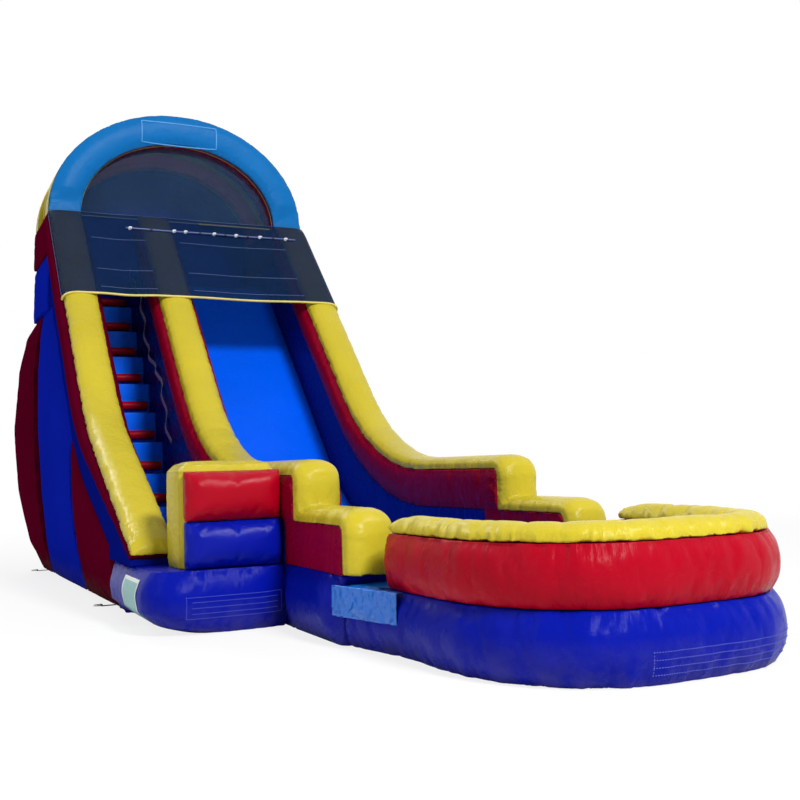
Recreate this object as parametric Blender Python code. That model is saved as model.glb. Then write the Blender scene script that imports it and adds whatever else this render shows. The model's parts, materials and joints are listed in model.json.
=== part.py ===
"""Inflatable water slide: tower with stairs, slide lane and splash pool.

Metres, +Z up.  X runs across the lanes, -Y points to the pool.  The pieces are
laid out from the front face of the tower arch (Y = 0) and the middle of the
tower (X = 0); at the end one empty moves them so that the part is centred.
"""
import math

import bmesh
import bpy
from mathutils import Vector

# Overall sizes of the tower and of its three wall tubes
HALF_WIDTH = 1.545
WALL_T = 0.36
STAIR_LANE = 0.655
SPRING_RISE = 3.75
ARCH_RISE = 1.3
TOWER_DEPTH = 1.3
DECK_HEIGHT = 0.45
SLOPE = math.radians(47.5)

# Wall seams, crowns, bands and skirts
CROWN_H = 0.11
HIGH_SEAM_RISE = 0.65
LOW_SEAM_RISE = 0.32
HIGH_WALL_LENGTH = 5.236
LOW_WALL_LENGTH = 6.134
SEAM_RADIUS = 2.4
CORNER_RADIUS = 0.05
LEFT_BEND = 2.09
LEFT_RADIUS = 2.4
LEFT_RUN = math.radians(27.5)
LEFT_WALL_LENGTH = 4.45
LEFT_TAPER = 0.16
BAND_DEPTH = 0.26
BAND_TIP_DEPTH = 0.03
BAND_BULGE = 0.06
FLAT_BAND_BULGE = 0.02
ARCH_TAPER = 0.26
EXIT_TUCK = 0.2
LEFT_SKIRT_DEPTH = 0.60
LEFT_SKIRT_FOOT_DEPTH = 0.36
CROWN_POWER = 2.4

# Slide bed
BED_DROP = 0.75
BED_RADIUS = 2.0
BED_T = 0.12
BED_SHEET = 0.03
SKIRT_LAP = 0.05

# Stairs and platform
STEP_RISE = 0.34
STEP_COUNT = 9
NOSE_DROP = 0.98
STAIR_T = 0.12
CHEEK_T = 0.05
BAR_RADIUS = 0.05
BAR_LIFT = 0.09
BAR_SHORT = 0.04
PLATFORM_T = 0.45

# Outer panels of the tower
PANEL_TOP_RISE = 2.6
COLUMN_FRONT = 0.55
SHELL_T = 0.12
FOOT_TUCK_REAR = 0.065
FOOT_TUCK_FRONT = 0.175
COLUMN_BULGE = 0.33
SIDE_BULGE = 0.17
FRONT_BULGE = 0.10
UPPER_BULGE = 0.07
UPPER_BAND_RISE = 3.27
BACK_BULGE = 0.10
BACK_FOOT_HEIGHT = 0.42

# Canopy
ARCH_DEPTH = 0.40
ARCH_FACE_T = 0.06
ARCH_FACE_BULGE = 0.05
ARCH_EDGE = 0.05
REAR_ARCH_DEPTH = 0.30
ROOF_RECESS = 0.08
ROOF_T = 0.05
NET_T = 0.004
NET_STRAND = 0.012
NET_SETBACK = 0.12
LANE_NET_TOP = 0.06
LANE_NET_LENGTH = 1.59
LANE_NET_SAG = 0.06
NET_SLACK = 0.003
NET_HEM_WIDTH = 0.04
HOSE_RADIUS = 0.011
HOSE_DROP = 0.42
HOSE_START = 0.74
HOSE_REACH = 1.33

# Bases
ENTRY_REAR = 3.6
ENTRY_FRONT = 5.06
ENTRY_INSET = 0.045
ENTRY_RADIUS = 0.22
BASE_BULGE = 0.09
ENTRY_TUCK = 0.26
BASE_SHELL_T = 0.15
BULGE_RAMP = 0.2

# Climbing block at the entry
BLOCK_OVERHANG = 0.10
BLOCK_CLEARANCE = 0.0225
BLOCK_FRONT = 5.10
BLOCK_REAR = 4.5
BLOCK_RISE = 0.75
BLOCK_SPLIT_RISE = 0.34
BLOCK_PANEL_RISE = 0.70
BLOCK_PANEL_T = 0.14
BLOCK_FRAME = 0.02
BLOCK_EDGE = 0.002
BLOCK_ROUND = 0.05
PILLOW_DEPTH = 0.075

# Splash pool
POOL_SHIFT = 0.1575
POOL_HALF = 1.025
POOL_FRONT = 8.10
POOL_REAR = 6.45
POOL_CORNER_WIDTH = 0.76
POOL_CORNER_LENGTH = 0.99
POOL_WALL_T = 0.28
POOL_BASE_DROP = 0.06
POOL_SEAM_RISE = 0.28
POOL_CROWN = 0.085
POOL_WALL_BULGE = 0.03
POOL_BASE_BULGE = 0.05
POOL_INNER_BULGE = 0.03
POOL_FLARE = 0.13
POOL_FLARE_LENGTH = 0.55
POOL_FLOOR_T = 0.05

# Exit cloths, strap and label patch
CLOTH_T = 0.004
FLAP_DROP = 0.19
FLAP_REACH = 0.075
FLAP_TAIL = 0.10
FLAP_NOSE = 0.28
FLAP_TURN = 0.045
FLAP_TAIL_LIP = 0.006
FLAP_REAR_LIP = 0.009
FLAP_NOSE_LIP = 0.045
FLAP_LIP = 0.02
FLAP_INSET = 0.02
STRAP_W = 0.05
STRAP_T = 0.004
STRAP_BOW = 0.035
STRAP_DEPTH = 0.62
STRAP_SWING = 0.08
STRAP_TOP = 0.06
STRAP_FOOT = 2.08
STRAP_LOOPS = 8
PATCH_LENGTH = 0.5
PATCH_START = 4.32
PATCH_T = 0.003

# Inflation sleeve and deflation zipper on the rear wall
SLEEVE_RADIUS = 0.16
SLEEVE_T = 0.005
SLEEVE_LENGTH = 0.6
SLEEVE_OFFSET = 0.75
ZIP_OFFSET = -0.55
ZIP_LENGTH = 0.5
ZIP_HEIGHT = 0.2
TAPE_H = 0.05
TAPE_T = 0.004
SLIDER_L = 0.035
SLIDER_H = 0.016
SLIDER_T = 0.008
FLAP_H = 0.1
FLAP_HEAD_H = 0.02
FLAP_AIR = 0.003
FLAP_T = 0.004

# Anchor tabs with their rings
TAB_LENGTH = 0.13
TAB_W = 0.10
TAB_T = 0.004
RING_WIRE = 0.005
RING_PLAY = 0.0006
RING_W = 0.07
RING_REACH = 0.06
TAB_REAR_OFFSET = 0.9
TAB_FRONT_OFFSET = 3.0

# Clearance between touching pieces, overrun of cuts, and merge distance
GAP = 0.0003
MERGE = 0.00001

# Shares that set how round the soft pieces are
CROWN_POINTS = 8
bulge_row_shares = (0.0, 0.12, 0.32, 0.55, 0.78, 0.92, 1.0)
base_row_shares = (0.0, 0.12, 0.35, 0.62, 0.86, 1.0)
entry_tuck_shares = (1.0, 0.42, 0.08, 0.0, 0.0, 0.0)
edge_bulge_share = 0.5
swell_power_share = 0.6
band_shares = ((0.0, 0.0), (0.2, 0.72), (0.5, 1.0), (0.8, 0.72), (1.0, 0.0))
taper_shares = ((0.0, 1.0), (0.5, 0.85), (0.85, 0.5), (1.0, 0.12))
arch_taper_shares = ((0.0, 0.08), (0.23, 0.55), (0.54, 0.85), (1.0, 1.0))
pillow_inset_share = 0.24

YELLOW = (0.83, 0.78, 0.17)
MAROON = (0.55, 0.02, 0.13)
RED = (0.72, 0.03, 0.13)
ROYAL = (0.04, 0.06, 0.60)
BRIGHT = (0.0, 0.37, 0.95)
SKY = (0.04, 0.43, 0.78)
NAVY = (0.03, 0.05, 0.38)
NET_GREY = (0.20, 0.27, 0.28)
STRAP_GREY = (0.55, 0.56, 0.58)
WHITE = (0.85, 0.88, 0.90)
TEAL = (0.10, 0.55, 0.55)
STEEL = (0.62, 0.63, 0.65)
BLACK = (0.03, 0.03, 0.035)

# Planes that everything else is placed from
SPRING_HEIGHT = DECK_HEIGHT + SPRING_RISE
HIGH_SEAM_HEIGHT = DECK_HEIGHT + HIGH_SEAM_RISE
LOW_SEAM_HEIGHT = DECK_HEIGHT + LOW_SEAM_RISE
PANEL_TOP_HEIGHT = DECK_HEIGHT + PANEL_TOP_RISE
UPPER_BAND_HEIGHT = DECK_HEIGHT + UPPER_BAND_RISE
BLOCK_TOP_HEIGHT = DECK_HEIGHT + BLOCK_RISE
BLOCK_SPLIT_HEIGHT = DECK_HEIGHT + BLOCK_SPLIT_RISE
BLOCK_PANEL_TOP_HEIGHT = DECK_HEIGHT + BLOCK_PANEL_RISE
POOL_BASE_HEIGHT = DECK_HEIGHT - POOL_BASE_DROP
POOL_SEAM_HEIGHT = DECK_HEIGHT + POOL_SEAM_RISE
L0 = -HALF_WIDTH
L1 = L0 + WALL_T
M0 = L1 + STAIR_LANE
M1 = M0 + WALL_T
R1 = HALF_WIDTH
R0 = R1 - WALL_T
POOL_X = (M1 + R0) / 2 + POOL_SHIFT
ENTRY_HALF = HALF_WIDTH - ENTRY_INSET
FOOT_HALF_REAR = HALF_WIDTH - FOOT_TUCK_REAR
FOOT_HALF_FRONT = HALF_WIDTH - FOOT_TUCK_FRONT
ARCH_A = R0
ARCH_B = ARCH_RISE - WALL_T
TAN = math.tan(SLOPE)
COS = math.cos(SLOPE)
SIN = math.sin(SLOPE)
BED_FLAT_Z = DECK_HEIGHT + BED_SHEET
BED_TOP_Z = SPRING_HEIGHT - BED_DROP / COS
NOSE_TOP_Z = SPRING_HEIGHT - NOSE_DROP / COS
PLATFORM_Z = DECK_HEIGHT + STEP_COUNT * STEP_RISE
SLIDE_EDGE_Y = (PLATFORM_Z - BED_TOP_Z) / TAN
STAIR_EDGE_Y = (PLATFORM_Z - NOSE_TOP_Z) / TAN
PLATFORM_REAR_Y = TOWER_DEPTH - SHELL_T
ARCH_STEPS = 24

scene_root = None


# Mesh helpers

def clear_scene():
    for old in list(bpy.data.objects):
        bpy.data.objects.remove(old, do_unlink=True)


def linear(value):
    return value / 12.92 if value <= 0.04045 else ((value + 0.055) / 1.055) ** 2.4


def paint(name, colour, roughness=0.42, metallic=0.0):
    """A Principled material of its own for one piece."""
    material = bpy.data.materials.new(name + "_paint")
    material.use_nodes = True
    shader = material.node_tree.nodes["Principled BSDF"]
    shader.inputs["Base Color"].default_value = (*[linear(c) for c in colour], 1.0)
    shader.inputs["Roughness"].default_value = roughness
    shader.inputs["Metallic"].default_value = metallic
    material.diffuse_color = (*[linear(c) for c in colour], 1.0)
    return material


def solid(name, parts, colour, roughness=0.42, metallic=0.0, origin=(0.0, 0.0, 0.0), round_angle=38.0):
    """One object from closed shells, each a list of points and a list of faces."""
    mesh = bmesh.new()
    shift = Vector(origin)
    for points, faces in parts:
        corners = [mesh.verts.new(Vector(p) - shift) for p in points]
        for face in faces:
            used = []
            for index in face:
                if index not in used:
                    used.append(index)
            mesh.faces.new([corners[i] for i in used])
    bmesh.ops.remove_doubles(mesh, verts=mesh.verts, dist=MERGE)
    bmesh.ops.dissolve_degenerate(mesh, edges=mesh.edges, dist=MERGE)
    bmesh.ops.recalc_face_normals(mesh, faces=mesh.faces)
    data = bpy.data.meshes.new(name)
    mesh.to_mesh(data)
    mesh.free()
    for polygon in data.polygons:
        polygon.use_smooth = True
    data.set_sharp_from_angle(angle=math.radians(round_angle))
    data.materials.append(paint(name, colour, roughness, metallic))
    item = bpy.data.objects.new(name, data)
    bpy.context.collection.objects.link(item)
    item.parent = scene_root
    item.location = shift
    return item


def joined(name, parts, colour, roughness=0.42):
    """One closed object from overlapping shells."""
    item = solid(name, parts[:1], colour, roughness)
    for part in parts[1:]:
        other = solid(name + "_joint", [part], colour, roughness)
        cut = item.modifiers.new("join", "BOOLEAN")
        cut.operation = "UNION"
        cut.solver = "EXACT"
        cut.object = other
        bpy.context.view_layer.update()
        whole = bpy.data.meshes.new_from_object(item.evaluated_get(bpy.context.evaluated_depsgraph_get()))
        item.modifiers.remove(cut)
        item.data = whole
        bpy.data.objects.remove(other, do_unlink=True)
    return item


def loft(rings, closed=False):
    """A closed shell through rings of points; both ends are capped unless it closes on itself."""
    count = len(rings[0])
    points = [p for ring in rings for p in ring]
    faces = []
    spans = len(rings) if closed else len(rings) - 1
    for i in range(spans):
        a = i * count
        b = ((i + 1) % len(rings)) * count
        for j in range(count):
            k = (j + 1) % count
            faces.append((a + j, a + k, b + k, b + j))
    if not closed:
        faces.append(tuple(reversed(range(count))))
        last = (len(rings) - 1) * count
        faces.append(tuple(range(last, last + count)))
    return points, faces


def extrude_x(outline, x0, x1):
    """A flat outline of (y, z) points, drawn out from x0 to x1."""
    return loft([[(x, y, z) for y, z in outline] for x in (x0, x1)])


def extrude_z(outline, z0, z1):
    return loft([[(x, y, z) for x, y in outline] for z in (z0, z1)])


def box(x0, x1, y0, y1, z0, z1):
    return extrude_z([(x0, y0), (x1, y0), (x1, y1), (x0, y1)], z0, z1)


# Profiles of the walls in the Y-Z plane

class Station:
    """A point of a seam with its upward normal; stretch mitres a bend or an upright cut."""

    def __init__(self, y, z, angle, stretch=1.0):
        self.y = y
        self.z = z
        self.angle = angle
        self.stretch = stretch

    def out(self, distance):
        reach = distance * self.stretch
        return (self.y - math.sin(self.angle) * reach, self.z + math.cos(self.angle) * reach)


def spread(first, last, count):
    return [first + (last - first) * i / count for i in range(count + 1)]


def fall(top_z, start_y, radius, end_angle, end_y, flat_z=None, bend=None, slope_steps=2, arc_steps=6):
    """Stations of a line that falls forward, bends on an arc and runs on straight to end_y."""
    if bend is None:
        bend_z = flat_z + radius * (1.0 - COS)
        bend_y = (bend_z - top_z) / TAN
    else:
        bend_y = -bend
        bend_z = top_z + TAN * bend_y
    stations = [Station(start_y, top_z + TAN * start_y, 0.0, 1.0 / COS)]
    for y in spread(start_y, bend_y, slope_steps)[1:-1]:
        stations.append(Station(y, top_z + TAN * y, SLOPE))
    for angle in spread(SLOPE, end_angle, arc_steps):
        y = bend_y - radius * (SIN - math.sin(angle))
        z = bend_z - radius * (math.cos(angle) - COS)
        stations.append(Station(y, z, angle))
    last = stations[-1]
    stations.append(Station(end_y, last.z + (end_y - last.y) * math.tan(end_angle), end_angle))
    return stations


def corner_down(y, z, steps=3):
    """Stations that turn a level seam over a rounded corner into a drop."""
    turned = []
    for angle in spread(0.0, math.pi / 2, steps):
        turned.append(Station(y + CORNER_RADIUS * (1.0 - math.sin(angle)),
                              z - CORNER_RADIUS * (1.0 - math.cos(angle)), angle))
    return turned


def ruled(tops, bottoms, x0, x1, bulges=None):
    """A wall between an upper and a lower line of (y, z) points; its sides may swell by a bulge each."""
    rings = []
    for i, ((ty, tz), (by, bz)) in enumerate(zip(tops, bottoms)):
        bulge = bulges[i] if bulges else 0.0
        side = []
        for share, swollen in band_shares if bulges else ((0.0, 0.0), (0.5, 0.0), (1.0, 0.0)):
            side.append((bulge * swollen, ty + (by - ty) * share, tz + (bz - tz) * share))
        ring = [(x0 - out, y, z) for out, y, z in side]
        ring += [(x1 + out, y, z) for out, y, z in reversed(side)]
        rings.append(ring)
    return loft(rings)


def crown_profile():
    """Shares of half width and of height across a padded crown."""
    shares = []
    for j in range(CROWN_POINTS + 1):
        across = -math.cos(math.pi * j / CROWN_POINTS)
        rise = max(0.0, 1.0 - abs(across) ** CROWN_POWER) ** (1.0 / CROWN_POWER)
        shares.append((across, rise))
    return shares


def crown(stations, x0, x1, scales=None):
    middle = (x0 + x1) / 2
    half = (x1 - x0) / 2
    rings = []
    for i, station in enumerate(stations):
        scale = scales[i] if scales else 1.0
        ring = []
        for across, rise in crown_profile():
            y, z = station.out(CROWN_H * rise * scale)
            ring.append((middle + half * across, y, z))
        rings.append(ring)
    return loft(rings)


def arch_taper(stations):
    """Stations of a crown that rises to its full height over a short run below the arch."""
    start = stations[0]
    scales = [arch_taper_shares[0][1]]
    tapered = [start]
    for along, scale in arch_taper_shares[1:]:
        down = ARCH_TAPER * along
        tapered.append(Station(start.y - COS * down, start.z - SIN * down, SLOPE))
        scales.append(scale)
    return tapered + stations[1:], scales + [1.0] * (len(stations) - 1)


# Bulged panels and bases

def swell(share):
    return math.sin(math.pi * min(1.0, max(0.0, share))) ** swell_power_share


def panel(columns, depth_foot, depth_head, bulge, place, shell=None, back=None, flat_foot=0.0,
          flat_first_edge=False):
    """A panel that bulges outward between its edges.

    columns holds (across, bottom, top); depth_foot and depth_head are the outer
    depths at the bottom and top edge, one value or one per column; place turns
    (across, depth, z) into a point.  The inner side follows at shell, or is
    flat at the depth back.
    """
    count = len(columns)
    first = columns[0][0]
    last = columns[-1][0]
    rows = bulge_row_shares
    outer = []
    inner = []
    for i, (across, bottom, top) in enumerate(columns):
        u = (across - first) / (last - first)
        side = edge_bulge_share + (1.0 - edge_bulge_share) * swell(u)
        if flat_first_edge and i == 0:
            side = 0.0
        foot = depth_foot[i] if isinstance(depth_foot, (list, tuple)) else depth_foot
        head = depth_head[i] if isinstance(depth_head, (list, tuple)) else depth_head
        for v in rows:
            z = bottom + (top - bottom) * v
            rise = 0.0
            if z > flat_foot:
                rise = swell((z - flat_foot) / (top - flat_foot)) if top > flat_foot else 0.0
            depth = foot + (head - foot) * v + bulge * side * rise
            outer.append(place(across, depth, z))
            inner.append(place(across, depth - shell if shell else back, z))
    points = outer + inner
    n = len(rows)
    half = len(outer)
    faces = []
    for i in range(count - 1):
        for j in range(n - 1):
            a = i * n + j
            b = a + n
            faces.append((a, b, b + 1, a + 1))
            faces.append((half + a, half + a + 1, half + b + 1, half + b))
    for j in range(n - 1):
        a = j
        faces.append((a, a + 1, half + a + 1, half + a))
        b = (count - 1) * n + j
        faces.append((b, half + b, half + b + 1, b + 1))
    for i in range(count - 1):
        a = i * n
        b = a + n
        faces.append((a, half + a, half + b, b))
        faces.append((a + n - 1, b + n - 1, half + b + n - 1, half + a + n - 1))
    return points, faces


def outline_normals(outline):
    """Outward normals at the corners of a closed, anticlockwise outline of (x, y) points."""
    count = len(outline)
    normals = []
    for i in range(count):
        before = Vector(outline[i]) - Vector(outline[i - 1])
        after = Vector(outline[(i + 1) % count]) - Vector(outline[i])
        total = Vector((before.y, -before.x)).normalized() + Vector((after.y, -after.x)).normalized()
        normals.append(total.normalized())
    return normals


def base_surface(share, bulge):
    return bulge * math.sin(math.pi * share) ** 0.7 if 0.0 < share < 1.0 else 0.0


def bulged_base(outline, factors, height, bulge, shell=None, tucks=None):
    """A base tube: an outline that swells between ground and top; shell hollows it from below.

    tucks gives how far each corner's foot draws in to the right.
    """
    normals = outline_normals(outline)
    tucks = tucks or [0.0] * len(outline)
    rings = []
    for share, tucked in zip(reversed(base_row_shares), reversed(entry_tuck_shares)):
        reach = base_surface(share, bulge)
        rings.append([(x + n.x * reach * f + tuck * tucked, y + n.y * reach * f, height * share)
                      for (x, y), n, f, tuck in zip(outline, normals, factors, tucks)])
    if shell:
        low_x = min(p[0] for p in outline) + shell
        high_x = max(p[0] for p in outline) - shell
        low_y = min(p[1] for p in outline) + shell
        high_y = max(p[1] for p in outline) - shell
        inside = [(min(high_x, max(low_x, x)), min(high_y, max(low_y, y))) for x, y in outline]
        rings.append([(x, y, 0.0) for x, y in inside])
        rings.append([(x, y, height - shell) for x, y in inside])
    return loft(rings)


def arc_points(cx, cy, radius, first, last, steps):
    return [(cx + radius * math.cos(a), cy + radius * math.sin(a)) for a in spread(first, last, steps)]


# Seams of the walls
def level_seam():
    """Seam of the middle and the right wall, with its high and its low front end."""
    stations = fall(SPRING_HEIGHT, 0.0, SEAM_RADIUS, 0.0, -HIGH_WALL_LENGTH + 2 * CORNER_RADIUS,
                    flat_z=HIGH_SEAM_HEIGHT)
    stations += corner_down(-HIGH_WALL_LENGTH, HIGH_SEAM_HEIGHT)
    stations.append(Station(-HIGH_WALL_LENGTH, LOW_SEAM_HEIGHT, math.pi / 4, math.sqrt(2.0)))
    stations.append(Station(-LOW_WALL_LENGTH + 2 * CORNER_RADIUS, LOW_SEAM_HEIGHT, 0.0))
    stations += corner_down(-LOW_WALL_LENGTH, LOW_SEAM_HEIGHT)
    stations.append(Station(-LOW_WALL_LENGTH, DECK_HEIGHT + GAP, math.pi / 2))
    return stations


def left_seam():
    return fall(SPRING_HEIGHT, 0.0, LEFT_RADIUS, LEFT_RUN, -LEFT_WALL_LENGTH, bend=LEFT_BEND, arc_steps=4)


def bed_line(start_y, end_y):
    return fall(BED_TOP_Z, start_y, BED_RADIUS, 0.0, end_y, flat_z=BED_FLAT_Z)


def build_level_wall(side, x0, x1):
    """Crown, band, skirt and low exit wall of one of the two walls that line the slide."""
    seam, scales = arch_taper(level_seam())
    solid(side + "_wall_top", [crown(seam, x0, x1, scales)], YELLOW)

    upper = fall(SPRING_HEIGHT, 0.0, SEAM_RADIUS, 0.0, -HIGH_WALL_LENGTH + 2 * CORNER_RADIUS,
                 flat_z=HIGH_SEAM_HEIGHT)
    flat_depth = HIGH_SEAM_HEIGHT - LOW_SEAM_HEIGHT
    depths = []
    bulges = []
    for station in upper:
        turn = station.angle / SLOPE if station.stretch == 1.0 else 1.0
        depths.append(flat_depth + (BAND_DEPTH - flat_depth) * turn)
        bulges.append(FLAT_BAND_BULGE + (BAND_BULGE - FLAT_BAND_BULGE) * turn)
    tops = [s.out(-GAP) for s in upper]
    bottoms = [s.out(-d) for s, d in zip(upper, depths)]
    for station in corner_down(-HIGH_WALL_LENGTH, HIGH_SEAM_HEIGHT)[1:]:
        tops.append(station.out(-GAP))
        bottoms.append((station.y + GAP * math.sin(station.angle), LOW_SEAM_HEIGHT))
        bulges.append(FLAT_BAND_BULGE)
    band = ruled(tops, bottoms, x0, x1, bulges)

    tuck_y = -HIGH_WALL_LENGTH + EXIT_TUCK
    lower = bed_line(0.0, tuck_y + GAP)
    skirt_tops = [s.out(-d - GAP) for s, d in zip(upper[:-1], depths[:-1])]
    skirt_tops.append((tuck_y + GAP, LOW_SEAM_HEIGHT - GAP))
    skirt_bottoms = []
    for station in lower:
        turn = station.angle / SLOPE if station.stretch == 1.0 else 1.0
        lap = BED_SHEET - GAP + (SKIRT_LAP - BED_SHEET + GAP) * turn
        skirt_bottoms.append(station.out(-lap))
    solid(side + "_wall_skirt", [ruled(skirt_tops, skirt_bottoms, x0, x1)], NAVY)

    low_tops = [(tuck_y, LOW_SEAM_HEIGHT + CORNER_RADIUS),
                (-HIGH_WALL_LENGTH + CORNER_RADIUS, LOW_SEAM_HEIGHT + CORNER_RADIUS),
                (-HIGH_WALL_LENGTH + CORNER_RADIUS / 2, LOW_SEAM_HEIGHT - GAP),
                (-LOW_WALL_LENGTH + 2 * CORNER_RADIUS, LOW_SEAM_HEIGHT - GAP)]
    low_bottoms = [(y, DECK_HEIGHT + GAP) for y, z in low_tops]
    for station in corner_down(-LOW_WALL_LENGTH, LOW_SEAM_HEIGHT)[1:]:
        low_tops.append(station.out(-GAP))
        low_bottoms.append((station.y + GAP * math.sin(station.angle), DECK_HEIGHT + GAP))
    joined(side + "_wall_band", [band, ruled(low_tops, low_bottoms, x0, x1)], MAROON)
    return skirt_bottoms


def left_lower_edge():
    """Lower edge of the left skirt, from the tower down to the rear of the entry base."""
    seam = left_seam()
    bend = [s for s in seam if s.stretch == 1.0 and s.angle == SLOPE][-1]
    start = seam.index(bend)
    turning = seam[start:-1]
    edge = []
    for i, station in enumerate(turning):
        share = i / (len(turning) - 1)
        depth = LEFT_SKIRT_DEPTH + (LEFT_SKIRT_FOOT_DEPTH - LEFT_SKIRT_DEPTH) * share / 2
        edge.append(station.out(-depth))
    foot_z = left_seam_z(-ENTRY_REAR) - LEFT_SKIRT_FOOT_DEPTH / math.cos(LEFT_RUN)
    edge.append((-ENTRY_REAR, foot_z))
    top_y = (PANEL_TOP_HEIGHT - SPRING_HEIGHT + LEFT_SKIRT_DEPTH / COS) / TAN
    return [(0.0, PANEL_TOP_HEIGHT), (top_y, PANEL_TOP_HEIGHT)] + edge


def left_seam_z(y):
    end = left_seam()[-1]
    return end.z + (y - end.y) * math.tan(LEFT_RUN)


def build_left_wall():
    seam = left_seam()
    shares = []
    stations = seam[:-1]
    tail = seam[-1]
    for along, scale in taper_shares:
        y = tail.y + LEFT_TAPER * (1.0 - along)
        stations.append(Station(y, left_seam_z(y), LEFT_RUN))
        shares.append(scale)
    stations, scales = arch_taper(stations)
    scales = scales[:-len(shares)] + shares
    solid("left_wall_top", [crown(stations, L0, L1, scales)], YELLOW)

    edge = left_lower_edge()
    anchors = [seam[0], Station(edge[1][0], SPRING_HEIGHT + TAN * edge[1][0], SLOPE)]
    bend = [s for s in seam if s.stretch == 1.0 and s.angle == SLOPE][-1]
    anchors += seam[seam.index(bend):-1]
    rear_of_entry = Station(-ENTRY_REAR, left_seam_z(-ENTRY_REAR), LEFT_RUN)
    front_of_panel = Station(-ENTRY_REAR - CHEEK_T, left_seam_z(-ENTRY_REAR - CHEEK_T), LEFT_RUN)
    anchors += [rear_of_entry, front_of_panel, tail]
    bend_y = bend.y
    depths = []
    for station in anchors:
        share = min(1.0, max(0.0, (bend_y - station.y) / (bend_y - tail.y)))
        depths.append(BAND_DEPTH + (BAND_TIP_DEPTH - BAND_DEPTH) * share)
    tops = [s.out(-GAP) for s in anchors]
    bottoms = [s.out(-d) for s, d in zip(anchors, depths)]
    bulges = [BAND_BULGE * d / BAND_DEPTH for d in depths]
    solid("left_wall_band", [ruled(tops, bottoms, L0, L1, bulges)], MAROON)

    skirt_tops = [s.out(-d - GAP) for s, d in zip(anchors, depths)]
    skirt_bottoms = [(y, z + GAP) for y, z in edge]
    skirt_bottoms.append((-ENTRY_REAR - GAP, DECK_HEIGHT + GAP))
    skirt_bottoms.append((skirt_tops[-1][0], DECK_HEIGHT + GAP))
    solid("left_wall_skirt", [ruled(skirt_tops, skirt_bottoms, L0, L1)], NAVY)
    return edge


# Beds, stairs and platform

def build_beds(level_edge, left_edge):
    line = bed_line(SLIDE_EDGE_Y, -LOW_WALL_LENGTH)
    tops = [s.out(0.0) for s in line]
    bottoms = []
    for station in line:
        turn = station.angle / SLOPE if station.stretch == 1.0 else 1.0
        bottoms.append(station.out(-(BED_SHEET - GAP) - (BED_T - BED_SHEET + GAP) * turn))
    solid("slide_bed", [ruled(tops, bottoms, M1 + GAP, R0 - GAP)], BRIGHT, 0.3)

    under_z = NOSE_TOP_Z - STEP_RISE - STAIR_T / COS
    under_bend_y = (DECK_HEIGHT - STAIR_T - under_z) / TAN
    end_y = STAIR_EDGE_Y - GAP
    under = [(end_y, under_z + TAN * end_y), (under_bend_y, DECK_HEIGHT - STAIR_T),
             (-ENTRY_REAR + GAP, DECK_HEIGHT - STAIR_T)]
    steps = [(-ENTRY_REAR + GAP, DECK_HEIGHT)]
    for k in range(STEP_COUNT):
        low = DECK_HEIGHT + k * STEP_RISE
        nose_y = (low + STEP_RISE - NOSE_TOP_Z) / TAN
        if k < STEP_COUNT - 1:
            steps.append((nose_y, low))
            steps.append((nose_y, low + STEP_RISE))
        else:
            steps.append((end_y, low))
    solid("stair_bed", [extrude_x(steps + under, L1 + GAP, M0 - GAP)], BRIGHT)

    left_top = [(end_y, PANEL_TOP_HEIGHT - GAP)] + [(y, z - GAP) for y, z in left_edge[:-1]]
    left_top.append((-ENTRY_REAR + GAP, left_edge[-1][1] - GAP))
    left_cheek = extrude_x(left_top + list(reversed(under)), L1 - CHEEK_T, L1)
    landing_rear = bed_flat_start()
    middle_under = [under[0], under[1], (landing_rear + GAP, DECK_HEIGHT - STAIR_T)]
    middle_top = [(end_y, PLATFORM_Z - PLATFORM_T - GAP), (GAP, PLATFORM_Z - PLATFORM_T - GAP),
                  (GAP, level_edge[0][1] - GAP)]
    for y, z in level_edge[1:]:
        if y > landing_rear + GAP:
            middle_top.append((y, min(z - GAP, PLATFORM_Z - PLATFORM_T - GAP)))
    middle_top.append((landing_rear + GAP, DECK_HEIGHT))
    middle_cheek = extrude_x(middle_top + list(reversed(middle_under)), M0, M0 + CHEEK_T)
    solid("stair_side_lining", [middle_cheek], NAVY)

    rack = [left_cheek]
    for k in range(STEP_COUNT):
        low = DECK_HEIGHT + k * STEP_RISE
        face_y = (low + STEP_RISE - NOSE_TOP_Z) / TAN - BAR_RADIUS - GAP
        over_rack = low + BAR_LIFT + BAR_RADIUS > PANEL_TOP_HEIGHT
        rings = []
        for x in (L1 + GAP if over_rack else L1 - CHEEK_T / 2, M0 - BAR_SHORT):
            rings.append([(x, face_y + BAR_RADIUS * math.cos(a), low + BAR_LIFT + BAR_RADIUS * math.sin(a))
                          for a in spread(0.0, 2 * math.pi, 10)[:-1]])
        if over_rack:
            solid("step_bar_%d" % (k + 1), [loft(rings)], RED)
        else:
            rack.append(loft(rings))
    joined("step_bar_rack", rack, RED)

    front = SLIDE_EDGE_Y + GAP
    plan = [(L1 + GAP, STAIR_EDGE_Y), (M0, STAIR_EDGE_Y), (M0, GAP), (M1, GAP), (M1, front),
            (R0 - GAP, front), (R0 - GAP, PLATFORM_REAR_Y - GAP), (L1 + GAP, PLATFORM_REAR_Y - GAP)]
    solid("platform", [extrude_z(plan, PLATFORM_Z - PLATFORM_T, PLATFORM_Z)], ROYAL)


def bed_flat_start():
    return bed_line(0.0, -LOW_WALL_LENGTH)[-2].y


# Outer panels

def side_place(side):
    return lambda across, depth, z: (side * depth, across, z)


def foot_half(y):
    """Half width on the ground, narrowing from the rear wall to the entry base."""
    share = (TOWER_DEPTH - y) / (TOWER_DEPTH + ENTRY_REAR)
    return FOOT_HALF_REAR + (FOOT_HALF_FRONT - FOOT_HALF_REAR) * share


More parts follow.
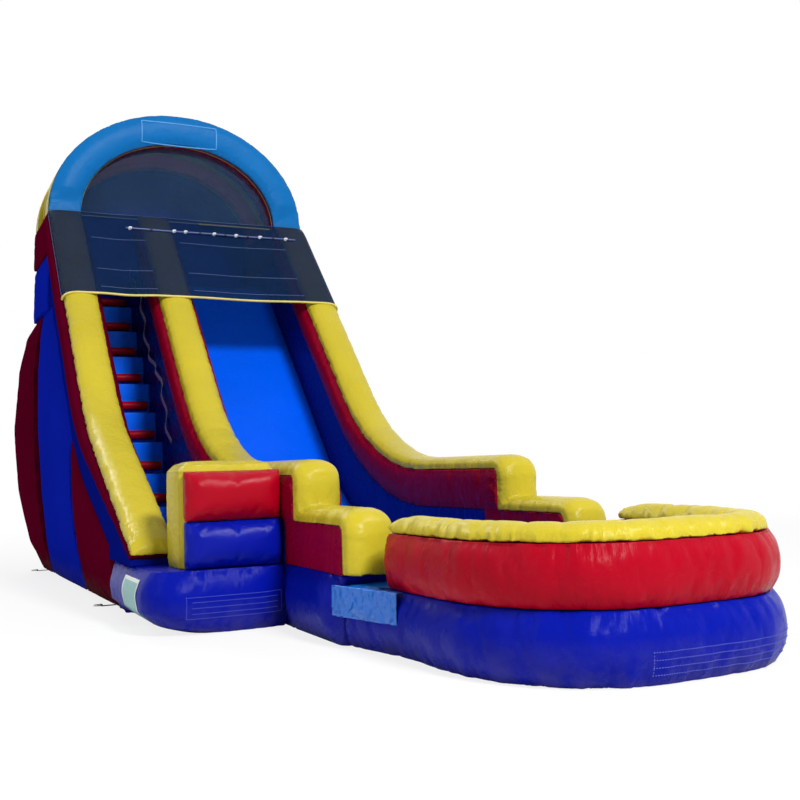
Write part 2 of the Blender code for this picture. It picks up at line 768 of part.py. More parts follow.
def build_side_panels(side_name, side, edge):
    place = side_place(side)
    column = [(y, 0.0, PANEL_TOP_HEIGHT - GAP) for y in spread(TOWER_DEPTH, COLUMN_FRONT + GAP, 4)]
    solid(side_name + "_rear_column",
          [panel(column, [foot_half(c[0]) for c in column], HALF_WIDTH, COLUMN_BULGE, place, SHELL_T,
                 flat_first_edge=True)], MAROON)

    upper_part = [p for p in edge if p[0] >= edge[2][0]]
    middle = [(y, 0.0, PANEL_TOP_HEIGHT - GAP) for y in spread(COLUMN_FRONT, 0.0, 2)[:-1]]
    middle += [(y, 0.0, z - GAP) for y, z in upper_part]
    solid(side_name + "_side_panel",
          [panel(middle, [foot_half(c[0]) for c in middle], HALF_WIDTH, SIDE_BULGE, place, SHELL_T)],
          ROYAL)

    lower = [(y, 0.0, z - GAP) for y, z in edge if y <= edge[2][0]]
    lower[0] = (lower[0][0] - GAP, lower[0][1], lower[0][2])
    solid(side_name + "_front_panel",
          [panel(lower, [foot_half(c[0]) for c in lower], HALF_WIDTH, FRONT_BULGE, place, SHELL_T)],
          MAROON)

    upper = [(y, PANEL_TOP_HEIGHT, UPPER_BAND_HEIGHT - GAP) for y in spread(TOWER_DEPTH, GAP, 4)]
    solid(side_name + "_tower_wall",
          [panel(upper, HALF_WIDTH, HALF_WIDTH, UPPER_BULGE, place, back=R0)], ROYAL)
    band = [(y, UPPER_BAND_HEIGHT, SPRING_HEIGHT - GAP) for y in spread(TOWER_DEPTH, GAP, 4)]
    solid(side_name + "_tower_band",
          [panel(band, HALF_WIDTH, HALF_WIDTH, UPPER_BULGE, place, back=R0)], MAROON)


def right_lower_edge(level_edge):
    """Lower edge of the right skirt down to the rear of the landing base."""
    top = min(level_edge[0][1], PANEL_TOP_HEIGHT)
    edge = [(0.0, top), (level_edge[1][0] / 2, level_edge_z(level_edge, level_edge[1][0] / 2))]
    edge += [p for p in level_edge[2:] if p[0] >= bed_flat_start() - GAP]
    return edge


def level_edge_z(edge, y):
    for (ya, za), (yb, zb) in zip(edge, edge[1:]):
        if yb <= y <= ya:
            return za + (zb - za) * (ya - y) / (ya - yb)
    return edge[-1][1]


def build_back():
    half = foot_half(PLATFORM_REAR_Y) - SHELL_T - GAP
    widening = (HALF_WIDTH - SHELL_T - GAP) / half - 1.0
    lower = [(x, 0.0, PANEL_TOP_HEIGHT - GAP) for x in spread(-half, half, 6)]
    solid("back_wall_lower",
          [panel(lower, TOWER_DEPTH, TOWER_DEPTH, BACK_BULGE,
                 lambda a, d, z: (a * (1.0 + widening * z / PANEL_TOP_HEIGHT), d, z),
                 shell=SHELL_T, flat_foot=BACK_FOOT_HEIGHT)], ROYAL)
    upper = []
    for phi in spread(math.pi, 0.0, ARCH_STEPS // 2):
        x = (ARCH_A - GAP) * math.cos(phi)
        z = SPRING_HEIGHT + (ARCH_B - GAP) * math.sin(phi)
        upper.append((x, PANEL_TOP_HEIGHT, z))
    solid("back_wall_upper",
          [panel(upper, TOWER_DEPTH, TOWER_DEPTH, BACK_BULGE / 2, lambda a, d, z: (a, d, z),
                 shell=SHELL_T)], ROYAL)


# Canopy

def arch_ring(phi, grow, shrink, section):
    """One ring of an arch: section holds (share from inner to outer curve, y)."""
    outer_a = ARCH_A + WALL_T - grow
    outer_b = ARCH_B + WALL_T - grow
    inner_a = ARCH_A + shrink
    inner_b = ARCH_B + shrink
    ring = []
    for share, y in section:
        a = inner_a + (outer_a - inner_a) * share
        b = inner_b + (outer_b - inner_b) * share
        ring.append((a * math.cos(phi), y, SPRING_HEIGHT + b * math.sin(phi)))
    return ring


def arch(sections, grow=0.0, shrink=0.0):
    rings = []
    for i, phi in enumerate(spread(0.0, math.pi, ARCH_STEPS)):
        section = sections(i) if callable(sections) else sections
        rings.append(arch_ring(phi, grow, shrink, section))
    return loft(rings)


def tube_section(y0, y1):
    edge = ARCH_EDGE / WALL_T
    return [(edge, y0), (0.0, y0 + ARCH_EDGE), (0.0, y1 - ARCH_EDGE), (edge, y1),
            (1.0 - edge, y1), (1.0, y1 - ARCH_EDGE), (1.0, y0 + ARCH_EDGE), (1.0 - edge, y0)]


def face_section(index):
    lower_ring = min(index, ARCH_STEPS - index) - 1
    height = ARCH_B * math.sin(math.pi * lower_ring / ARCH_STEPS)
    crown_top = CROWN_H * arch_taper_shares[0][1] / COS
    lift = min(1.0, max(0.0, (height - crown_top) / crown_top))
    reach = ARCH_FACE_BULGE * lift
    edge = ARCH_EDGE / WALL_T
    return [(0.04, ARCH_FACE_T - GAP), (0.0, GAP), (0.22, GAP - reach * 0.8), (0.5, GAP - reach),
            (0.78, GAP - reach * 0.8), (1.0, GAP), (0.96, ARCH_FACE_T - GAP), (1.0 - edge, ARCH_FACE_T - GAP)]


def build_canopy():
    rear = TOWER_DEPTH - REAR_ARCH_DEPTH
    solid("arch_face", [arch(face_section)], SKY)
    front_tube = [(0.0, ARCH_FACE_T), (0.0, ARCH_DEPTH - ARCH_EDGE), (ARCH_EDGE / WALL_T, ARCH_DEPTH),
                  (1.0 - ARCH_EDGE / WALL_T, ARCH_DEPTH), (1.0, ARCH_DEPTH - ARCH_EDGE), (1.0, ARCH_FACE_T)]
    solid("arch_tube", [arch(front_tube)], YELLOW)
    solid("rear_arch_tube", [arch(tube_section(rear, TOWER_DEPTH))], YELLOW)
    y0 = ARCH_DEPTH + GAP
    y1 = rear - GAP
    middle = (y0 + y1) / 2
    roof_inner = WALL_T - ROOF_RECESS - ROOF_T
    roof = [(0.0, y0), (0.0, y1), (0.6, y1), (1.0, middle), (0.6, y0)]
    solid("canopy_roof", [arch(roof, ROOF_RECESS, roof_inner)], YELLOW, 0.5)


# Nets

def net(columns, rows, place):
    """A net of square gaps: place maps (u, v, side) to a point, side 0 or 1 through its thickness.

    columns and rows hold pairs (start, end) of the strands in each direction.
    """
    points = {}
    order = []

    def corner(u, v, side):
        key = (u, v, side)
        if key not in points:
            points[key] = len(order)
            order.append(place(u, v, side))
        return points[key]

    us = sorted({u for pair in columns for u in pair})
    vs = sorted({v for pair in rows for v in pair})
    column_cells = [(a, b) in columns for a, b in zip(us, us[1:])]
    row_cells = [(a, b) in rows for a, b in zip(vs, vs[1:])]

    def filled(i, j):
        if i < 0 or j < 0 or i >= len(column_cells) or j >= len(row_cells):
            return False
        return column_cells[i] or row_cells[j]

    faces = []
    for i in range(len(column_cells)):
        for j in range(len(row_cells)):
            if not filled(i, j):
                continue
            a, b = us[i], us[i + 1]
            c, d = vs[j], vs[j + 1]
            faces.append((corner(a, c, 0), corner(b, c, 0), corner(b, d, 0), corner(a, d, 0)))
            faces.append((corner(a, c, 1), corner(a, d, 1), corner(b, d, 1), corner(b, c, 1)))
            if not filled(i - 1, j):
                faces.append((corner(a, c, 0), corner(a, d, 0), corner(a, d, 1), corner(a, c, 1)))
            if not filled(i + 1, j):
                faces.append((corner(b, c, 0), corner(b, c, 1), corner(b, d, 1), corner(b, d, 0)))
            if not filled(i, j - 1):
                faces.append((corner(a, c, 0), corner(a, c, 1), corner(b, c, 1), corner(b, c, 0)))
            if not filled(i, j + 1):
                faces.append((corner(a, d, 0), corner(b, d, 0), corner(b, d, 1), corner(a, d, 1)))
    return order, faces


def strands(places, width):
    return [(p - width / 2, p + width / 2) for p in places]


def build_nets():
    half = ARCH_A - GAP
    rise = ARCH_B - GAP
    reach = half * math.cos(math.pi / ARCH_STEPS)
    xs = [half * math.cos(phi) for phi in spread(math.pi, 0.0, ARCH_STEPS)][1:-1:2]
    columns = [(xs[0], xs[0] + NET_STRAND)] + strands(xs[1:-1], NET_STRAND) + [(xs[-1] - NET_STRAND, xs[-1])]
    counts = 6
    band = NET_HEM_WIDTH / rise
    strand = NET_STRAND / rise
    levels = [band + (1.0 - band) * j / counts for j in range(1, counts)]
    rows = [(0.0, band)] + strands(levels, strand) + [(1.0 - strand, 1.0)]

    def place_upper(u, v, side):
        x = max(-reach, min(reach, u))
        limit = arch_chord(abs(x), half, rise)
        return (u, NET_SETBACK + NET_T * side, SPRING_HEIGHT + limit * v)

    solid("canopy_net", [net(columns, rows, place_upper)], NET_GREY, 0.8)

    crown_xs = []
    for x0, x1 in ((L0, L1), (M0, M1), (R0, R1)):
        middle = (x0 + x1) / 2
        crown_xs.append((middle, (x1 - x0) / 2))
    lift = CROWN_H + GAP
    left_middle, left_half = crown_xs[0]
    right_middle, right_half = crown_xs[2]
    profile = crown_profile()
    edge_index = 1
    outer_left = left_middle + left_half * profile[edge_index][0]
    outer_right = right_middle + right_half * profile[CROWN_POINTS - edge_index][0]

    def net_height(x):
        """Height of the net's underside over the seam plane: it hugs the outer crowns and sags between."""
        if x < left_middle:
            return min(lift, crown_height((x - left_middle) / left_half) + NET_SLACK)
        if x > right_middle:
            return min(lift, crown_height((x - right_middle) / right_half) + NET_SLACK)
        for (a, a_half), (b, b_half) in zip(crown_xs, crown_xs[1:]):
            if a + a_half < x < b - b_half:
                share = (x - a - a_half) / (b - b_half - a - a_half)
                return lift - LANE_NET_SAG * math.sin(math.pi * share) ** 2
        return lift

    outer = [left_middle + left_half * profile[j][0] for j in range(1, CROWN_POINTS // 2 + 1)]
    outer_r = [right_middle + right_half * profile[j][0] for j in range(CROWN_POINTS // 2, CROWN_POINTS)]
    inner = spread(left_middle, right_middle, 14)[1:-1]
    places = outer + inner + outer_r
    columns = [(places[0], places[0] + NET_STRAND)]
    columns += strands(places[1:-1], NET_STRAND)
    columns += [(places[-1] - NET_STRAND, places[-1])]
    hem = NET_HEM_WIDTH / LANE_NET_LENGTH
    strand = NET_STRAND / LANE_NET_LENGTH
    count = 7
    levels = [hem + (1.0 - 2 * hem) * j / count for j in range(1, count)]
    rows = [(0.0, hem)] + strands(levels, strand) + [(1.0 - hem, 1.0)]

    def place_lane(u, v, side):
        down = LANE_NET_TOP + LANE_NET_LENGTH * v
        height = net_height(u) + NET_T * side
        y = -down * COS
        z = SPRING_HEIGHT - down * SIN
        return (u, y - SIN * height, z + COS * height)

    solid("lane_net", [net(columns, rows, place_lane)], NET_GREY, 0.8)

    down = HOSE_DROP
    height = lift + NET_T + GAP + HOSE_RADIUS
    y = -down * COS - SIN * height
    z = SPRING_HEIGHT - down * SIN + COS * height
    rings = []
    for x in (-HOSE_START, HOSE_REACH):
        rings.append([(x, y + HOSE_RADIUS * math.cos(a), z + HOSE_RADIUS * math.sin(a))
                      for a in spread(0.0, 2 * math.pi, 8)[:-1]])
    solid("spray_hose", [loft(rings)], BLACK, 0.5)


def arch_chord(x, half, rise):
    """Height of the faceted arch opening at x."""
    for i in range(ARCH_STEPS):
        a = math.pi * i / ARCH_STEPS
        b = math.pi * (i + 1) / ARCH_STEPS
        xa, xb = half * math.cos(a), half * math.cos(b)
        if xb <= x <= xa:
            share = (xa - x) / (xa - xb)
            return rise * (math.sin(a) + (math.sin(b) - math.sin(a)) * share)
    return 0.0


def crown_height(across):
    """Height of the faceted crown at a share of its half width."""
    profile = crown_profile()
    for (a, ha), (b, hb) in zip(profile, profile[1:]):
        if a <= across <= b:
            return CROWN_H * (ha + (hb - ha) * (across - a) / (b - a))
    return 0.0


# Bases

def entry_outline():
    x0 = -ENTRY_HALF
    x1 = M0 - GAP
    y0 = -ENTRY_FRONT
    y1 = -ENTRY_REAR - GAP
    points = [(x0, y1, 0.0), (x0, y1 - BULGE_RAMP, 1.0), (x0, -PATCH_START, 1.0),
              (x0, -PATCH_START - PATCH_LENGTH, 1.0)]
    arc = arc_points(x0 + ENTRY_RADIUS, y0 + ENTRY_RADIUS, ENTRY_RADIUS, math.pi, 1.5 * math.pi, 4)
    points += [(x, y, 1.0) for x, y in arc]
    points += [(x1 - BULGE_RAMP, y0, 1.0), (x1, y0, 0.0), (x1, y1, 0.0)]
    return points


def entry_tuck(x, y):
    """How far the entry base's foot draws in: fully on the left side, not at its rear or front."""
    on_side = x < -ENTRY_HALF + ENTRY_RADIUS + GAP
    return ENTRY_TUCK if on_side and y < -ENTRY_REAR - BULGE_RAMP else 0.0


def build_bases():
    outline = entry_outline()
    tucks = [entry_tuck(p[0], p[1]) for p in outline]
    solid("entry_base", [bulged_base([p[:2] for p in outline], [p[2] for p in outline],
                                     DECK_HEIGHT, BASE_BULGE, tucks=tucks)], ROYAL)

    rear = bed_flat_start() - GAP
    x0 = M0
    x1 = HALF_WIDTH
    y0 = -LOW_WALL_LENGTH
    split = -ENTRY_FRONT
    plan = [(x0, rear, 0.0), (x0, split, 0.0), (x0, split - BULGE_RAMP, 1.0),
            (x0, y0 + BULGE_RAMP, 1.0), (x0, y0, 0.0), (x1, y0, 0.0),
            (x1, y0 + BULGE_RAMP, 1.0), (x1, rear - BULGE_RAMP, 1.0), (x1, rear, 0.0)]
    solid("landing_base", [bulged_base([p[:2] for p in plan], [p[2] for p in plan],
                                       DECK_HEIGHT, BASE_BULGE, BASE_SHELL_T)], ROYAL)

    rows = list(zip(base_row_shares, entry_tuck_shares))[1:-1]
    rings = []
    for y in (-PATCH_START, -PATCH_START - PATCH_LENGTH):
        skin = [(ENTRY_TUCK * t - ENTRY_HALF - base_surface(s, BASE_BULGE), s * DECK_HEIGHT)
                for s, t in rows]
        ring = [(x - GAP, y, z) for x, z in skin]
        ring += [(x - GAP - PATCH_T, y, z) for x, z in reversed(skin)]
        rings.append(ring)
    solid("label_patch", [loft(rings)], WHITE, 0.4)


# Climbing block

def pillow(x0, x1, y_back, depth, z0, z1, inset_share):
    """A panel whose front rises from its border to a flat inner field."""
    inset = min(x1 - x0, z1 - z0) * inset_share
    y_front = y_back - depth
    rim = y_back - (depth - PILLOW_DEPTH)
    rings = [
        [(x0, y_back, z0), (x1, y_back, z0), (x1, y_back, z1), (x0, y_back, z1)],
        [(x0, rim, z0), (x1, rim, z0), (x1, rim, z1), (x0, rim, z1)],
        [(x0 + inset, y_front, z0 + inset), (x1 - inset, y_front, z0 + inset),
         (x1 - inset, y_front, z1 - inset), (x0 + inset, y_front, z1 - inset)],
    ]
    return loft(rings)


def build_block():
    x0 = L1 - BLOCK_OVERHANG
    x1 = M0 - BLOCK_CLEARANCE
    back = -BLOCK_FRONT + BLOCK_PANEL_T
    outline = [(x0 + BLOCK_ROUND, back), (x1 - BLOCK_ROUND, back), (x1, back + BLOCK_ROUND),
               (x1, -BLOCK_REAR - BLOCK_ROUND), (x1 - BLOCK_ROUND, -BLOCK_REAR),
               (x0 + BLOCK_ROUND, -BLOCK_REAR), (x0, -BLOCK_REAR - BLOCK_ROUND), (x0, back + BLOCK_ROUND)]
    normals = outline_normals(outline)
    rings = []
    for z, inset in ((DECK_HEIGHT + GAP, 0.0), (BLOCK_TOP_HEIGHT - BLOCK_ROUND, 0.0),
                     (BLOCK_TOP_HEIGHT, BLOCK_ROUND)):
        rings.append([(x - n.x * inset, y - n.y * inset, z) for (x, y), n in zip(outline, normals)])
    solid("climb_block_frame", [loft(rings)], YELLOW)
    left = x0 + BLOCK_FRAME
    right = x1 - BLOCK_EDGE
    solid("climb_block_upper",
          [pillow(left, right, back - GAP, BLOCK_PANEL_T - GAP, BLOCK_SPLIT_HEIGHT + GAP,
                  BLOCK_PANEL_TOP_HEIGHT,
                  pillow_inset_share)], RED, round_angle=20.0)
    solid("climb_block_lower",
          [pillow(left, right, back - GAP, BLOCK_PANEL_T - GAP, DECK_HEIGHT + GAP, BLOCK_SPLIT_HEIGHT,
                  pillow_inset_share)], ROYAL, round_angle=20.0)


# Splash pool

def pool_path(rear_y):
    """Plan line of the pool's outer seam from rear left round the front to rear right."""
    left = POOL_X - POOL_HALF
    right = POOL_X + POOL_HALF
    front = -POOL_FRONT
    straight = front + POOL_CORNER_LENGTH
    points = [(left, y) for y in spread(rear_y, straight, 3)[:-1]]
    for angle in spread(math.pi, 1.5 * math.pi, 6):
        points.append((left + POOL_CORNER_WIDTH * (1.0 + math.cos(angle)),
                       straight + POOL_CORNER_LENGTH * math.sin(angle)))
    for angle in spread(1.5 * math.pi, 2 * math.pi, 6):
        points.append((right - POOL_CORNER_WIDTH * (1.0 - math.cos(angle)),
                       straight + POOL_CORNER_LENGTH * math.sin(angle)))
    points += [(right, y) for y in spread(straight, rear_y, 3)[1:]]
    return points


def path_normals(points):
    normals = []
    for i, point in enumerate(points):
        before = Vector(points[max(0, i - 1)])
        after = Vector(points[min(len(points) - 1, i + 1)])
        along = (after - before).normalized()
        normals.append(Vector((along.y, -along.x)) * -1.0)
    return [Vector((-n.x, -n.y)) for n in normals]


def pool_sweep(rear_y, section):
    """Sweeps a section of (outward, z) points along the pool's seam; it may vary with the point."""
    points = pool_path(rear_y)
    normals = path_normals(points)
    rings = []
    for (x, y), n in zip(points, normals):
        rings.append([(x + n.x * out, y + n.y * out, z) for out, z in section(x, y)])
    return loft(rings)


def pool_flare(x, y):
    """Outward flare of the left base tube near the landing, where it meets the wider landing base."""
    if x > POOL_X:
        return 0.0
    share = (y + LOW_WALL_LENGTH + POOL_FLARE_LENGTH) / POOL_FLARE_LENGTH
    return POOL_FLARE * min(1.0, max(0.0, share))


def build_pool():
    def base_section(x, y):
        flare = pool_flare(x, y)
        section = [(-POOL_WALL_T, POOL_BASE_HEIGHT), (-POOL_WALL_T, 0.0)]
        for share in base_row_shares:
            section.append((flare + base_surface(share, POOL_BASE_BULGE), share * POOL_BASE_HEIGHT))
        return section

    solid("pool_base", [pool_sweep(-LOW_WALL_LENGTH - GAP, base_section)], ROYAL)

    def wall_section(x, y):
        z0 = POOL_BASE_HEIGHT + GAP
        z1 = POOL_SEAM_HEIGHT
        middle = (z0 + z1) / 2
        return [(-POOL_WALL_T, z1), (-POOL_WALL_T - POOL_INNER_BULGE, middle), (-POOL_WALL_T, z0), (0.0, z0),
                (POOL_WALL_BULGE * 0.8, z0 + (middle - z0) / 2), (POOL_WALL_BULGE, middle),
                (POOL_WALL_BULGE * 0.8, z1 - (z1 - middle) / 2), (0.0, z1)]

    solid("pool_wall", [pool_sweep(-POOL_REAR, wall_section)], RED)

    def crown_section(x, y):
        section = []
        for across, rise in crown_profile():
            section.append((-POOL_WALL_T * (1.0 + across) / 2, POOL_SEAM_HEIGHT + GAP + POOL_CROWN * rise))
        return section

    solid("pool_wall_top", [pool_sweep(-POOL_REAR, crown_section)], YELLOW)

    points = pool_path(-LOW_WALL_LENGTH - GAP)
    normals = path_normals(points)
    inner = [(x - n.x * (POOL_WALL_T + GAP), y - n.y * (POOL_WALL_T + GAP))
             for (x, y), n in zip(points, normals)]
    solid("pool_floor", [extrude_z(inner, 0.0, POOL_FLOOR_T)], BRIGHT)


def build_exit_cloths():
    """A cloth over the left exit sill and the flap that hangs outside it on a sewn hinge line."""
    y0 = -LOW_WALL_LENGTH - FLAP_INSET
    y1 = -POOL_REAR + FLAP_INSET
    seam_x = POOL_X - POOL_HALF
    top_z = POOL_BASE_HEIGHT + GAP
    places = spread(y0, y1, 3)
    top = []
    for y in places:
        edge_x = seam_x - pool_flare(seam_x, y)
        top.append([(seam_x + POOL_WALL_T - FLAP_LIP, y, top_z),
                    (seam_x + POOL_WALL_T - FLAP_LIP, y, top_z + CLOTH_T),
                    (edge_x, y, top_z + CLOTH_T), (edge_x, y, top_z)])
    solid("exit_cloth", [loft(top)], SKY, 0.35)
    rear_edge = Vector((seam_x - pool_flare(seam_x, y0), y0))
    front_edge = Vector((seam_x - pool_flare(seam_x, y1), y1))
    along = (rear_edge - front_edge).normalized()
    outward = Vector((-along.y, along.x))
    width = (rear_edge - front_edge).length
    rings = []
    lips = [(-FLAP_TAIL, FLAP_REACH - FLAP_TAIL_LIP), (0.0, FLAP_REACH - FLAP_REAR_LIP),
            (FLAP_TURN, GAP), (width / 2, GAP), (width, GAP),
            (width + FLAP_NOSE, FLAP_REACH - FLAP_NOSE_LIP)]
    for ahead, start in lips:
        place = rear_edge - along * ahead
        outline = [(start, top_z), (start, top_z + CLOTH_T), (FLAP_REACH, top_z + CLOTH_T),
                   (FLAP_REACH + CLOTH_T, top_z), (FLAP_REACH + CLOTH_T, top_z - FLAP_DROP),
                   (FLAP_REACH, top_z - FLAP_DROP), (FLAP_REACH, top_z)]
        rings.append([(place.x + outward.x * out, place.y + outward.y * out, z) for out, z in outline])
    middle = rear_edge.lerp(front_edge, 0.5) + outward * GAP
    solid("exit_flap", [loft(rings)], SKY, 0.35, origin=(middle.x, middle.y, top_z + CLOTH_T))


# Webbing strap on the middle wall

def build_strap():
    count = STRAP_LOOPS * 4
    rings = []
    for i, down_y in enumerate(spread(-STRAP_TOP, -STRAP_FOOT, count)):
        loop = math.pi * i / 4
        bow = STRAP_BOW * math.sin(loop) ** 2
        depth = STRAP_DEPTH + STRAP_SWING * math.cos(loop / 2)
        ring = []
        for x, d in ((M0 - GAP - bow, depth + STRAP_W / 2), (M0 - GAP - bow, depth - STRAP_W / 2),
                     (M0 - GAP - bow - STRAP_T, depth - STRAP_W / 2),
                     (M0 - GAP - bow - STRAP_T, depth + STRAP_W / 2)):
            ring.append((x, down_y + SIN * d, SPRING_HEIGHT + TAN * down_y - COS * d))
        rings.append(ring)
    solid("climb_strap", [loft(rings)], STRAP_GREY, 0.75)


# Rear fittings

def build_rear_fittings():
    rear = TOWER_DEPTH
    rings = []
    start = rear + GAP
    for y, radius in ((start, SLEEVE_RADIUS - SLEEVE_T), (start, SLEEVE_RADIUS),
                      (start + SLEEVE_LENGTH, SLEEVE_RADIUS),
                      (start + SLEEVE_LENGTH, SLEEVE_RADIUS - SLEEVE_T)):
        rings.append([(SLEEVE_OFFSET + radius * math.sin(a), y, SLEEVE_RADIUS - radius * math.cos(a))
                      for a in spread(0.0, 2 * math.pi, 16)[:-1]])
    solid("inflation_sleeve", [loft(rings, closed=True)], ROYAL, 0.5)

    x0 = ZIP_OFFSET - ZIP_LENGTH / 2
    x1 = ZIP_OFFSET + ZIP_LENGTH / 2
    face = rear + GAP
    solid("zipper_tape", [box(x0, x1, face, face + TAPE_T, ZIP_HEIGHT - TAPE_H / 2, ZIP_HEIGHT + TAPE_H / 2)],
          BLACK, 0.7)
    slider_y = face + TAPE_T + GAP
    slider_x = x0 + SLIDER_L / 2
    solid("zipper_slider",
          [box(x0, x0 + SLIDER_L, slider_y, slider_y + SLIDER_T,
               ZIP_HEIGHT - SLIDER_H / 2, ZIP_HEIGHT + SLIDER_H / 2)],
          STEEL, 0.3, 0.9, origin=(slider_x, slider_y, ZIP_HEIGHT))
    head_z = ZIP_HEIGHT + TAPE_H / 2 + GAP
    flap_y = slider_y + SLIDER_T + FLAP_AIR
    outline = [(face, head_z), (face, head_z + FLAP_HEAD_H), (flap_y + FLAP_T, head_z + FLAP_HEAD_H),
               (flap_y + FLAP_T, head_z + FLAP_HEAD_H - FLAP_H), (flap_y, head_z + FLAP_HEAD_H - FLAP_H),
               (flap_y, head_z)]
    solid("zipper_flap", [extrude_x(outline, x0 - FLAP_LIP, x1 + FLAP_LIP)], ROYAL, 0.5,
          origin=(ZIP_OFFSET, face, head_z + FLAP_HEAD_H))


# Anchor tabs and rings

def turn(point, centre, angle):
    """Turns a flat (outward, side, z) layout about Z and moves it to its centre."""
    out, side, z = point
    c = math.cos(angle)
    s = math.sin(angle)
    return (centre[0] + c * out - s * side, centre[1] + s * out + c * side, z)


def build_anchor(name, centre, angle):
    """A folded webbing tab on the ground and the D-ring that turns in its loop."""
    bore = RING_WIRE + RING_PLAY
    outer = bore + TAB_T
    reach = TAB_LENGTH - outer
    sweep = spread(-math.pi / 2, math.radians(225.0), 9)
    outline = [(0.0, 0.0)]
    outline += [(reach + outer * math.cos(a), outer + outer * math.sin(a)) for a in sweep]
    outline += [(reach + bore * math.cos(a), outer + bore * math.sin(a)) for a in reversed(sweep)]
    outline += [(0.0, TAB_T)]
    rings = []
    for side in (-TAB_W / 4, TAB_W / 4):
        rings.append([turn((out, side, z), centre, angle) for out, z in outline])
    solid(name + "_tab", [loft(rings)], BLACK, 0.8)

    line = []
    half = RING_W / 2
    for side in spread(half, -half, 2):
        line.append((0.0, side))
    for a in spread(-math.pi / 2, math.pi / 2, 8)[1:-1]:
        line.append((RING_WIRE + RING_REACH * math.cos(a), (half + RING_WIRE) * math.sin(a)))
    rings = []
    count = len(line)
    for i, (out, side) in enumerate(line):
        before = Vector(line[i - 1])
        after = Vector(line[(i + 1) % count])
        here = Vector((out, side))
        along = ((here - before).normalized() + (after - here).normalized()).normalized()
        across = Vector((along.y, -along.x))
        ring = []
        for b in spread(0.0, 2 * math.pi, 6)[:-1]:
            reach_out = RING_WIRE * math.cos(b)
            ring.append(turn((reach + here.x + across.x * reach_out, here.y + across.y * reach_out,
                              outer + RING_WIRE * math.sin(b)), centre, angle))
        rings.append(ring)
    pivot = turn((reach, 0.0, outer), centre, angle)
    solid(name + "_ring", [loft(rings, closed=True)], STEEL, 0.3, 0.9, origin=pivot)


def tab_start(y, height, bulge):
    """Half width at which a tab on the ground just clears the panel that swells over it."""
    row = bulge_row_shares[1]
    foot = foot_half(y + TAB_W / 4)
    lean = ((HALF_WIDTH - foot) * row + bulge * swell(row)) / (height * row)
    return foot + GAP + TAB_T * lean


def build_anchors(left_edge, right_edge):
    rear_x = tab_start(TAB_REAR_OFFSET, PANEL_TOP_HEIGHT, COLUMN_BULGE)
    left_x = tab_start(-TAB_FRONT_OFFSET, level_edge_z(left_edge, -TAB_FRONT_OFFSET), FRONT_BULGE)
    right_x = tab_start(-TAB_FRONT_OFFSET, level_edge_z(right_edge, -TAB_FRONT_OFFSET), FRONT_BULGE)
    build_anchor("left_rear", (-rear_x, TAB_REAR_OFFSET), math.pi)
    build_anchor("right_rear", (rear_x, TAB_REAR_OFFSET), 0.0)
    build_anchor("left_front", (-left_x, -TAB_FRONT_OFFSET), math.pi)
    build_anchor("right_front", (right_x, -TAB_FRONT_OFFSET), 0.0)


def centre_part():
    """Moves the root so that the part's bounding box is centred over the origin."""
    bpy.context.view_layer.update()
    corners = []
    for item in bpy.data.objects:
        if item.type == "MESH":
            corners += [item.matrix_world @ v.co for v in item.data.vertices]
    for axis in (0, 1):
        low = min(c[axis] for c in corners)
        high = max(c[axis] for c in corners)
        scene_root.location[axis] = -(low + high) / 2
    bpy.context.view_layer.update()


def main():
    global scene_root
    clear_scene()
    scene_root = bpy.data.objects.new("slide_root", None)
    bpy.context.collection.objects.link(scene_root)
    level_edge = build_level_wall("middle", M0, M1)
    build_level_wall("right", R0, R1)
    left_edge = build_left_wall()
    build_beds(level_edge, left_edge)
    build_side_panels("left", -1.0, left_edge)
    right_edge = right_lower_edge(level_edge)
    build_side_panels("right", 1.0, right_edge)
    build_back()
    build_canopy()
    build_nets()
    build_bases()
    build_block()
    build_pool()
    build_exit_cloths()
    build_strap()
    build_rear_fittings()
    build_anchors(left_edge, right_edge)
    centre_part()


main()
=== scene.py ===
# %% [markdown]
# # An inflatable water slide
# This lesson dresses a finished model of an inflatable slide: a tall tower with a stair lane and a
# slide lane, an arched canopy with nets, an entry block and a round splash pool. The sizes come
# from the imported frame. Here each air chamber gets its skin of coated cloth, with the puckers that
# sewing and air pressure make, and the small fittings get their detail.
# %% Load the frame
import bpy
import bmesh
import json
import math
import numpy as np
from mathutils import Matrix, Vector, kdtree
from mathutils.bvhtree import BVHTree


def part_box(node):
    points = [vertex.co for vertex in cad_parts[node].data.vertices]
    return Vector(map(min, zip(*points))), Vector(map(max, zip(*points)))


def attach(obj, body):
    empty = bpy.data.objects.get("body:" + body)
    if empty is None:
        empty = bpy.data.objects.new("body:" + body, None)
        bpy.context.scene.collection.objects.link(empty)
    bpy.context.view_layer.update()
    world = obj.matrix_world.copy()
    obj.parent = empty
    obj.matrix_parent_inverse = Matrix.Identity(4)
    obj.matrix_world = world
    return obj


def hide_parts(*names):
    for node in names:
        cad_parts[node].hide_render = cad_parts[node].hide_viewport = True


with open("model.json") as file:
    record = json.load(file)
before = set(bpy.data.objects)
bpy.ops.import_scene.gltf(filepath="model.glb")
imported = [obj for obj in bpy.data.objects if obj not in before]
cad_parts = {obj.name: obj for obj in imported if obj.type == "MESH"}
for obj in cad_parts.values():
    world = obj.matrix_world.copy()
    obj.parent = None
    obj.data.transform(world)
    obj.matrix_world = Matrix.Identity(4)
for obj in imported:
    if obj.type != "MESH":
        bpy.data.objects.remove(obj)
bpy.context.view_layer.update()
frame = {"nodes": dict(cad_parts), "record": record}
scene = bpy.context.scene
body_of = {n: b for b, group in frame["record"]["behaviour"]["bodies"].items() for n in group}
slot_of = {s["node"]: s["material_slot"] for s in frame["record"]["subparts"]}

